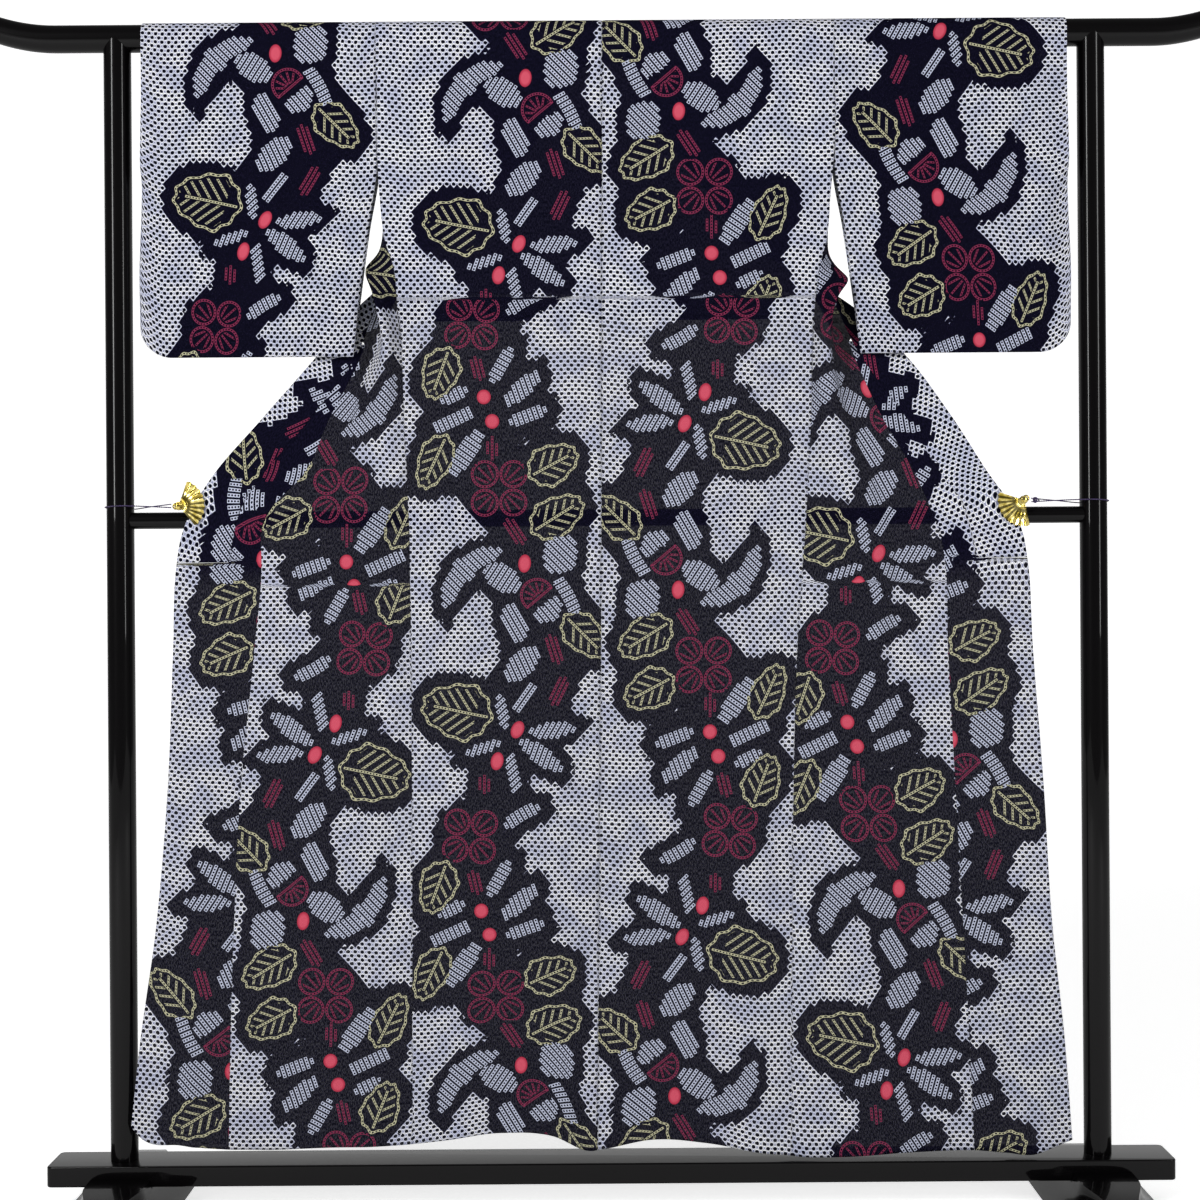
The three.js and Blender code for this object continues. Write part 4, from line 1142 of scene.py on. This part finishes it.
def silk():
    """Dark purple silk, lighter where single strands catch the light."""
    material, tree, bsdf = new_material("purple_silk")
    where = tree.nodes.new("ShaderNodeTexCoord")
    strand = noise(tree, where.outputs["Object"], 700, 1.0)
    colour = blend(tree, strand.rise(0.35, 0.65), "#190d2c", "#3a2360")
    tree.links.new(colour, bsdf.inputs["Base Color"])
    bsdf.inputs["Roughness"].default_value = 0.5
    bsdf.inputs["Sheen Weight"].default_value = 0.1
    return material


black, gold, purple = lacquer(), brass(), silk()
print("finishes:", black.name, gold.name, purple.name)

# %% [markdown]
# ## Rails, posts, beam and feet
#
# The rails and posts are turned poles, so each is a loft: rings of points joined one to the next.
# A post's top is hollowed to take the rail, and the middle rail's ends are hollowed to fit the
# posts, so their end rings follow the other pole's circle. The feet are flared blocks that pass
# under the beam.

# %%
GAP = 0.3
RAIL_BEND, RAIL_HALF, RAIL_RISE, END_ROUND = 790.0, 925.0, 35.0, 3.0
MID_RADIUS, MID_HEIGHT = 12.0, 987.0
BEAM_HALF, BEAM_DEPTH, BEAM_BOTTOM, BEAM_TOP, BEAM_CORNER, BEAM_BEVEL = 806.0, 73.0, 35.5, 65.0, 8.0, 2.0
FOOT_X, FOOT_FLARE = 700.0, 1.3
FOOT_COLUMNS = ("y", "base", "top", "height")
FOOT_ROWS = ((0, 80, 42, 47), (70, 80, 42, 46), (130, 74, 24, 38), (180, 60, 13, 23), (210, 42, 8, 11))


def circle(sides):
    """Cosines and sines of evenly spaced angles."""
    angle = np.arange(sides) * 2 * np.pi / sides
    return np.cos(angle), np.sin(angle)


def loft(rings, round_trip=False):
    """Points and faces of a skin over closed rings, which ends in two flat caps or, for a round
    trip, runs back into its own start."""
    n, m = rings.shape[:2]
    index = np.arange(n * m).reshape(n, m)
    if round_trip:
        index = np.concatenate([index, index[:1]])
    side = np.roll(index, -1, axis=1)
    faces = np.stack([index[:-1], side[:-1], side[1:], index[1:]], -1).reshape(-1, 4).tolist()
    caps = [] if round_trip else [index[0].tolist(), index[-1].tolist()]
    return rings.reshape(-1, 3), faces + caps


def hard_piece(name, parts, material, sharp=40):
    """One object from several lofts, smooth except at edges sharper than an angle."""
    mesh = bpy.data.meshes.new(name)
    start, verts, faces = 0, [], []
    for points, part_faces in parts:
        verts.append(points)
        faces += [[k + start for k in face] for face in part_faces]
        start += len(points)
    mesh.from_pydata((np.concatenate(verts) * MM).tolist(), [], faces)
    form = bmesh.new()
    form.from_mesh(mesh)
    bmesh.ops.recalc_face_normals(form, faces=form.faces)
    form.to_mesh(mesh)
    form.free()
    mesh.polygons.foreach_set("use_smooth", np.ones(len(mesh.polygons), bool))
    mesh.set_sharp_from_angle(angle=math.radians(sharp))
    mesh.materials.append(material)
    obj = bpy.data.objects.new(name, mesh)
    bpy.context.scene.collection.objects.link(obj)
    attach(obj, "root")
    return obj


print("the rail stands", GAP, "mm clear of the posts")

# %% [markdown]
# ### The poles
#
# A turned pole needs only its radius along its length. The top rail's ends rise in a gentle curve
# and have a small round edge, which its end rings follow.

# %%
def top_rail():
    """A round pole whose ends rise as a square of the way past the bend."""
    rounding = RAIL_HALF - END_ROUND * (1 - np.sin(np.linspace(0, 1.57, 7)))
    half = np.concatenate([np.linspace(0, RAIL_BEND, 3), np.linspace(800, 921, 28), rounding])
    x = np.concatenate([-half[:0:-1], half])
    inset = np.maximum(np.abs(x) - (RAIL_HALF - END_ROUND), 0)
    radius = RAIL_RADIUS - END_ROUND + np.sqrt(np.maximum(END_ROUND**2 - inset**2, 0))
    lift = RAIL_RISE * (np.maximum(np.abs(x) - RAIL_BEND, 0) / (RAIL_HALF - RAIL_BEND)) ** 2
    c, s = circle(64)
    y = radius[:, None] * c
    z = RAIL_HEIGHT + lift[:, None] + radius[:, None] * s
    return loft(np.stack([np.broadcast_to(x[:, None], y.shape), y, z], -1))


def post(sign):
    """An upright pole. Its top ring dips as a circle a little larger than the rail does."""
    c, s = circle(64)
    x, y = sign * POST_X + RAIL_RADIUS * c, RAIL_RADIUS * s
    top = RAIL_HEIGHT - np.sqrt((RAIL_RADIUS + GAP) ** 2 - y**2)
    return loft(np.stack([np.stack([x, y, z], -1) for z in (np.full(64, BEAM_TOP + GAP), top)]))


def mid_rail():
    """A level pole whose end rings follow the posts' round."""
    c, s = circle(48)
    y, z = MID_RADIUS * c, MID_HEIGHT + MID_RADIUS * s
    end = POST_X - np.sqrt((RAIL_RADIUS + GAP) ** 2 - y**2)
    return loft(np.stack([np.stack([x, y, z], -1) for x in (-end, end)]))


print("the middle rail is", 2 * MID_RADIUS, "mm thick")

# %% [markdown]
# ### The base
#
# The beam is a planed plank with softened edges. Each foot is one block, carved to a hollow slope
# on both sides.

# %%
def base_beam():
    """A plank with round corners: each ring is the outline drawn in by a rounded edge's inset."""
    turn = np.linspace(0, np.pi / 2, 7)
    edge = np.linspace(0, np.pi / 2, 5)
    inset = np.concatenate([BEAM_BEVEL * (1 - np.sin(edge)), BEAM_BEVEL * (1 - np.sin(edge))[::-1]])
    low, high = BEAM_BEVEL * (1 - np.cos(edge)), BEAM_BEVEL * (1 - np.cos(edge))[::-1]
    heights = np.concatenate([BEAM_BOTTOM + low, BEAM_TOP - high])
    rings = []
    for out, z in zip(inset, heights):
        half_x, half_y, r = BEAM_HALF - BEAM_CORNER, BEAM_DEPTH / 2 - BEAM_CORNER, BEAM_CORNER - out
        corners = [
            np.stack([sx * half_x + r * np.cos(turn + a), sy * half_y + r * np.sin(turn + a)], -1)
            for sx, sy, a in ((1, 1, 0), (-1, 1, np.pi / 2), (-1, -1, np.pi), (1, -1, 1.5 * np.pi))
        ]
        flat = np.concatenate(corners)
        rings.append(np.column_stack([flat, np.full(len(flat), z)]))
    return loft(np.stack(rings))


def foot(sign):
    """Rings across the foot: hollow sides that flare to the floor, lower where the beam passes."""
    notch = BEAM_DEPTH / 2 + GAP
    beside = notch + np.array([0.02, 6, 14])
    half = np.concatenate([np.linspace(0, notch, 6), beside, np.linspace(60, FOOT_ROWS[-1][0], 24)])
    y = np.concatenate([-half[:0:-1], half])
    base, top, height = [
        column(FOOT_ROWS, FOOT_COLUMNS, name, np.abs(y))[:, None] for name in FOOT_COLUMNS[1:]
    ]
    share = np.linspace(0, 1, 15)[None, :]
    reach = mix(base, top, 1 - (1 - share) ** 2)
    z = height * share**FOOT_FLARE
    z = np.where(np.abs(y)[:, None] <= notch, np.minimum(z, BEAM_BOTTOM - GAP), z)
    y = np.broadcast_to(y[:, None], z.shape)
    right = np.stack([sign * FOOT_X + reach, y, z], -1)
    left = np.stack([sign * FOOT_X - reach, y, z], -1)[:, ::-1]
    return loft(np.concatenate([right, left], 1))


STAND = {
    "top_rail": top_rail(), "mid_rail": mid_rail(), "base_beam": base_beam(),
    "post_left": post(-1), "post_right": post(1), "foot_left": foot(-1), "foot_right": foot(1),
}
for node, part in STAND.items():
    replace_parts(hard_piece(f"{node}_finish", [part], black), node)
print("stand:", len(STAND), "pieces")

# %% [markdown]
# ## Fan clips and silk cords
#
# Each clip is a folding fan stamped in brass: nine pleats that deepen outwards from a half-round
# hub with a raised rim, an eye for the cord, and a jaw behind the cloth. The cord is two plies of
# silk twisted together. It runs from the eye round the post and back, and its two runs cross once.

# %%
CLIP_X = {"left": 613.0, "right": 597.0}
CLIP_TILT = {"left": 10.0, "right": -42.0}
CLIP_Y, PLATE = -25.6, 1.2
FAN_RADIUS, HUB, HUB_RISE, SPREAD, PLEATS, PLEAT_DEPTH = 38.0, 13.0, 1.2, 120.0, 9, 1.5
JAW_LENGTH, JAW_WIDTH, JAW_THICK, JAW_MIDDLE = 40.0, 12.0, 1.2, 15.0
JAW_Y = -FOLD_RADIUS + 0.8 - CLIP_Y - 1.0
HINGE_RADIUS, HINGE_X, EYE_X = 4.5, -1.0, -4.0
CORD_RADIUS, CORD_Y, CORD_START, CORD_SPREAD, CORD_EASE, KNOT = 1.0, -24.6, 9.6, 2.5, 0.8, 5.0


def slab(outline, front, back, edge=0.3):
    """A flat plate with an outline in x and z between two depths, its edges a little rounded."""
    middle = outline.mean(0)
    rings = []
    for y, inset in ((front, edge), (front + edge, 0), (back - edge, 0), (back, edge)):
        reach = np.linalg.norm(outline - middle, axis=1, keepdims=True)
        flat = middle + (outline - middle) * (1 - inset / np.maximum(reach, 1))
        rings.append(np.stack([flat[:, 0], np.full(len(flat), y), flat[:, 1]], -1))
    return loft(np.stack(rings))


def fan_plate():
    """The pleated sheet: a rounded zigzag whose depth grows from the hub to the rim, and a scalloped
    rim. The front and the back of the plate are joined along its four edges."""
    steps = (np.linspace(1.5, 10.6, 6), np.linspace(11, 14.4, 10), np.linspace(16, FAN_RADIUS, 10))
    r = np.concatenate(steps)
    place = np.linspace(0, 1, PLEATS * 10 + 1)
    angle = np.radians(SPREAD) * (place - 0.5)
    wave = 2 / np.pi * np.arcsin(0.97 * np.cos(2 * np.pi * PLEATS * place))
    rim = 1 - 0.022 * (1 + wave) * smooth(r, 26, FAN_RADIUS)[:, None]
    reach = r[:, None] * rim
    y = -wave * PLEAT_DEPTH * smooth(r, HUB, FAN_RADIUS)[:, None]
    y = y - HUB_RISE * (1 - smooth(r, HUB - 1.2, HUB))[:, None] - 0.55 * ridge(r - HUB + 1.4, 0.6)[:, None]
    y = y + 0.22 * np.cos(2 * np.pi * PLEATS * place) * (1 - smooth(r, 8, 10.6))[:, None]
    sheet = np.stack([reach * np.cos(angle), y, reach * np.sin(angle)], -1)
    shift = np.array([0, PLATE / 2, 0])
    loop = np.concatenate([sheet - shift, (sheet + shift)[:, ::-1]], 1)
    return loft(loop)


def clip_parts(label):
    """The fan, jaw, hinge and eye, turned by the clip's tilt and set at its place."""
    c, s = circle(24)
    hinge = np.stack([HINGE_X + HINGE_RADIUS * c, HINGE_RADIUS * s], -1)
    corner = np.linspace(0, np.pi / 2, 5)
    jaw = np.concatenate([
        np.stack([JAW_MIDDLE + sx * (JAW_LENGTH / 2 - 3) + 3 * np.cos(corner + a),
                  sz * (JAW_WIDTH / 2 - 3) + 3 * np.sin(corner + a)], -1)
        for sx, sz, a in ((1, 1, 0), (-1, 1, np.pi / 2), (-1, -1, np.pi), (1, -1, 1.5 * np.pi))
    ])
    turn = np.linspace(0, 2 * np.pi, 25)[:-1]
    ring = np.stack([EYE_X + 3.7 * np.cos(turn), 0.5 + 0 * turn, 3.7 * np.sin(turn)], -1)
    eye = tube(ring, 1.3, 10, round_trip=True)
    parts = [
        fan_plate(), slab(jaw, JAW_Y + GAP, JAW_Y + GAP + JAW_THICK),
        slab(hinge, -1.5, JAW_Y + GAP + JAW_THICK, edge=0.6), eye,
    ]
    tilt = math.radians(CLIP_TILT[label])
    sign = SIDES[label][0]
    placed = []
    for points, faces in parts:
        x = points[:, 0] * math.cos(tilt) - points[:, 2] * math.sin(tilt)
        z = points[:, 0] * math.sin(tilt) + points[:, 2] * math.cos(tilt)
        x = sign * (CLIP_X[label] - x)
        placed.append((np.stack([x, points[:, 1] + CLIP_Y, z + CLIP_HEIGHT], -1), faces))
    return placed


def tube(path, radius, sides, round_trip=False, twist=None):
    """A round tube along a path. Its rings are square to the path and keep one side up. For a ply,
    twist gives the way off the path's middle and the length of one turn."""
    if round_trip:
        tangent = np.roll(path, -1, 0) - np.roll(path, 1, 0)
    else:
        tangent = np.gradient(path, axis=0)
    tangent = tangent / np.linalg.norm(tangent, axis=1, keepdims=True)
    up = np.array([0.0, 1.0, 0.0]) if round_trip else np.array([0.0, 0.0, 1.0])
    side = np.cross(up, tangent)
    side = side / np.linalg.norm(side, axis=1, keepdims=True)
    rise = np.cross(tangent, side)
    if twist:
        off, turn, start = twist
        run = np.concatenate([[0.0], np.cumsum(np.linalg.norm(np.diff(path, axis=0), axis=1))])
        angle = (2 * np.pi * run / turn + start)[:, None]
        path = path + off * (np.cos(angle) * side + np.sin(angle) * rise)
    c, s = circle(sides)
    around = c[:, None] * side[:, None] + s[:, None] * rise[:, None]
    return loft(path[:, None] + radius * around, round_trip)


def cord_route(label, steps=460):
    """Points from the clip's eye along the front run, round the post, and back along the other."""
    sign, start = SIDES[label][0], CLIP_X[label] + CORD_START + CORD_RADIUS
    loop = RAIL_RADIUS + CORD_RADIUS + CORD_EASE
    turn = np.radians(np.linspace(-105, 105, 25))
    knots = np.concatenate([
        [[start, CORD_Y, CLIP_HEIGHT - CORD_SPREAD]],
        [[mix(start, POST_X, 0.45), CORD_Y + 0.6, CLIP_HEIGHT - 0.5]],
        np.stack([POST_X + loop * np.cos(turn), loop * np.sin(turn),
                  CLIP_HEIGHT - 0.8 - np.degrees(turn) / 65], -1),
        [[mix(start, POST_X, 0.4), CORD_Y / 3, CLIP_HEIGHT], [start, CORD_Y, CLIP_HEIGHT + CORD_SPREAD]],
    ])
    reach = np.concatenate([[0.0], np.cumsum(np.linalg.norm(np.diff(knots, axis=0), axis=1))])
    where = np.linspace(0, reach[-1], steps)
    return np.stack([(sign if k == 0 else 1) * along(reach, knots[:, k], where) for k in range(3)], -1)


def knot_route():
    """A three-lobed knot beside the right clip: cos and sin of twice and three times one angle."""
    turn = np.linspace(0, 2 * np.pi, 97)[:-1]
    wide = 2.4 + 1.3 * np.cos(3 * turn)
    knot = np.stack([wide * np.cos(2 * turn) * 1.2, 1.4 * np.sin(3 * turn), wide * np.sin(2 * turn)], -1)
    return knot + np.array([CLIP_X["right"] + CORD_START + CORD_RADIUS + 1.3 * KNOT, CORD_Y, CLIP_HEIGHT])


# %% [markdown]
# ### Setting the clips and cords
#
# Each cord is two plies that wind round one path, half a turn apart.

# %%
knot = hard_piece("cord_knot", [tube(knot_route(), 1.0, 8, round_trip=True)], purple, sharp=80)
for label in SIDES:
    clip = hard_piece(f"clip_{label}_finish", clip_parts(label), gold, sharp=50)
    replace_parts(clip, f"clip_{label}")
    route = cord_route(label)
    plies = [tube(route, 0.56, 7, twist=(0.46, 5.2, start)) for start in (0, np.pi)]
    cord = hard_piece(f"cord_{label}_finish", plies, purple, sharp=80)
    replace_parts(cord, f"cord_{label}")

# %% [markdown]
# ## Camera, floor and light
#
# The camera stands level with the middle of the robe, as for a catalogue picture. The floor curves
# up into a white backdrop, and tall soft lights stand on both sides. The paper glows a little, so
# that it is white in the picture without lighting the robe.

# %%
camera = bpy.data.objects.new("camera", bpy.data.cameras.new("camera"))
camera.data.lens = 53.97
camera.data.sensor_width = 36.0
camera.data.shift_x = -7.5 / 1200
camera.location = (0.0, -2.6, 0.868)
camera.rotation_euler = (math.pi / 2, math.radians(0.391), 0.0)
bpy.context.scene.collection.objects.link(camera)
bpy.context.scene.camera = camera


def plain(name, code, strength):
    """A matt colour that also shines a little by itself."""
    material, tree, bsdf = new_material(name)
    bsdf.inputs["Base Color"].default_value = linear(code)
    bsdf.inputs["Roughness"].default_value = 0.9
    bsdf.inputs["Emission Color"].default_value = linear(code)
    bsdf.inputs["Emission Strength"].default_value = strength
    return material


def backdrop():
    """A sheet that runs along the floor and bends up behind in a quarter circle."""
    bend = 0.8
    angle = np.linspace(0, np.pi / 2, 17)
    y = np.concatenate([[-6.0], 3.6 + bend * np.sin(angle), [3.6 + bend]])
    z = np.concatenate([[0.0], bend * (1 - np.cos(angle)), [6.0]])
    rows = np.stack([np.stack([np.full_like(y, x), y, z], -1) for x in (-7.0, 7.0)])
    n = len(y)
    mesh = bpy.data.meshes.new("backdrop")
    faces = [(i, i + 1, n + i + 1, n + i) for i in range(n - 1)]
    mesh.from_pydata((rows.reshape(-1, 3)).tolist(), [], faces)
    mesh.polygons.foreach_set("use_smooth", [True] * len(faces))
    obj = bpy.data.objects.new("backdrop", mesh)
    bpy.context.scene.collection.objects.link(obj)
    obj.data.materials.append(plain("white_paper", "#f4f4f4", 0.68))
    obj.location.z = -0.0005
    obj.data.materials[0].cycles.emission_sampling = "NONE"
    return obj


backdrop()


def lamp(name, place, target, size, power):
    """A rectangular soft light that looks at a target: its pitch is the angle between straight down
    and the way to the target, and its turn is that way's direction on the floor."""
    data = bpy.data.lights.new(name, "AREA")
    data.shape = "RECTANGLE"
    data.size, data.size_y = size
    data.energy = power
    obj = bpy.data.objects.new(name, data)
    obj.location = place
    direction = np.array(target) - np.array(place)
    obj.rotation_euler = (
        math.atan2(math.hypot(direction[0], direction[1]), -direction[2]),
        0.0,
        math.atan2(direction[1], direction[0]) - math.pi / 2,
    )
    bpy.context.scene.collection.objects.link(obj)


lamp("key", (-2.6, -3.0, 2.3), (0, 0, 0.9), (0.5, 2.4), 105)
lamp("fill", (2.8, -2.9, 1.9), (0, 0, 0.9), (0.5, 2.4), 62)
world = bpy.data.worlds.new("studio")
bpy.context.scene.world = world
world.use_nodes = True
world.node_tree.nodes["Background"].inputs[0].default_value = (1.0, 1.0, 1.0, 1.0)
world.node_tree.nodes["Background"].inputs[1].default_value = 0.22
bpy.context.scene.view_settings.view_transform = "Standard"
bpy.context.scene.cycles.max_bounces = 4
bpy.context.scene.cycles.diffuse_bounces = 0
bpy.context.scene.cycles.transparent_max_bounces = 8
bpy.context.scene.cycles.adaptive_threshold = 0.04
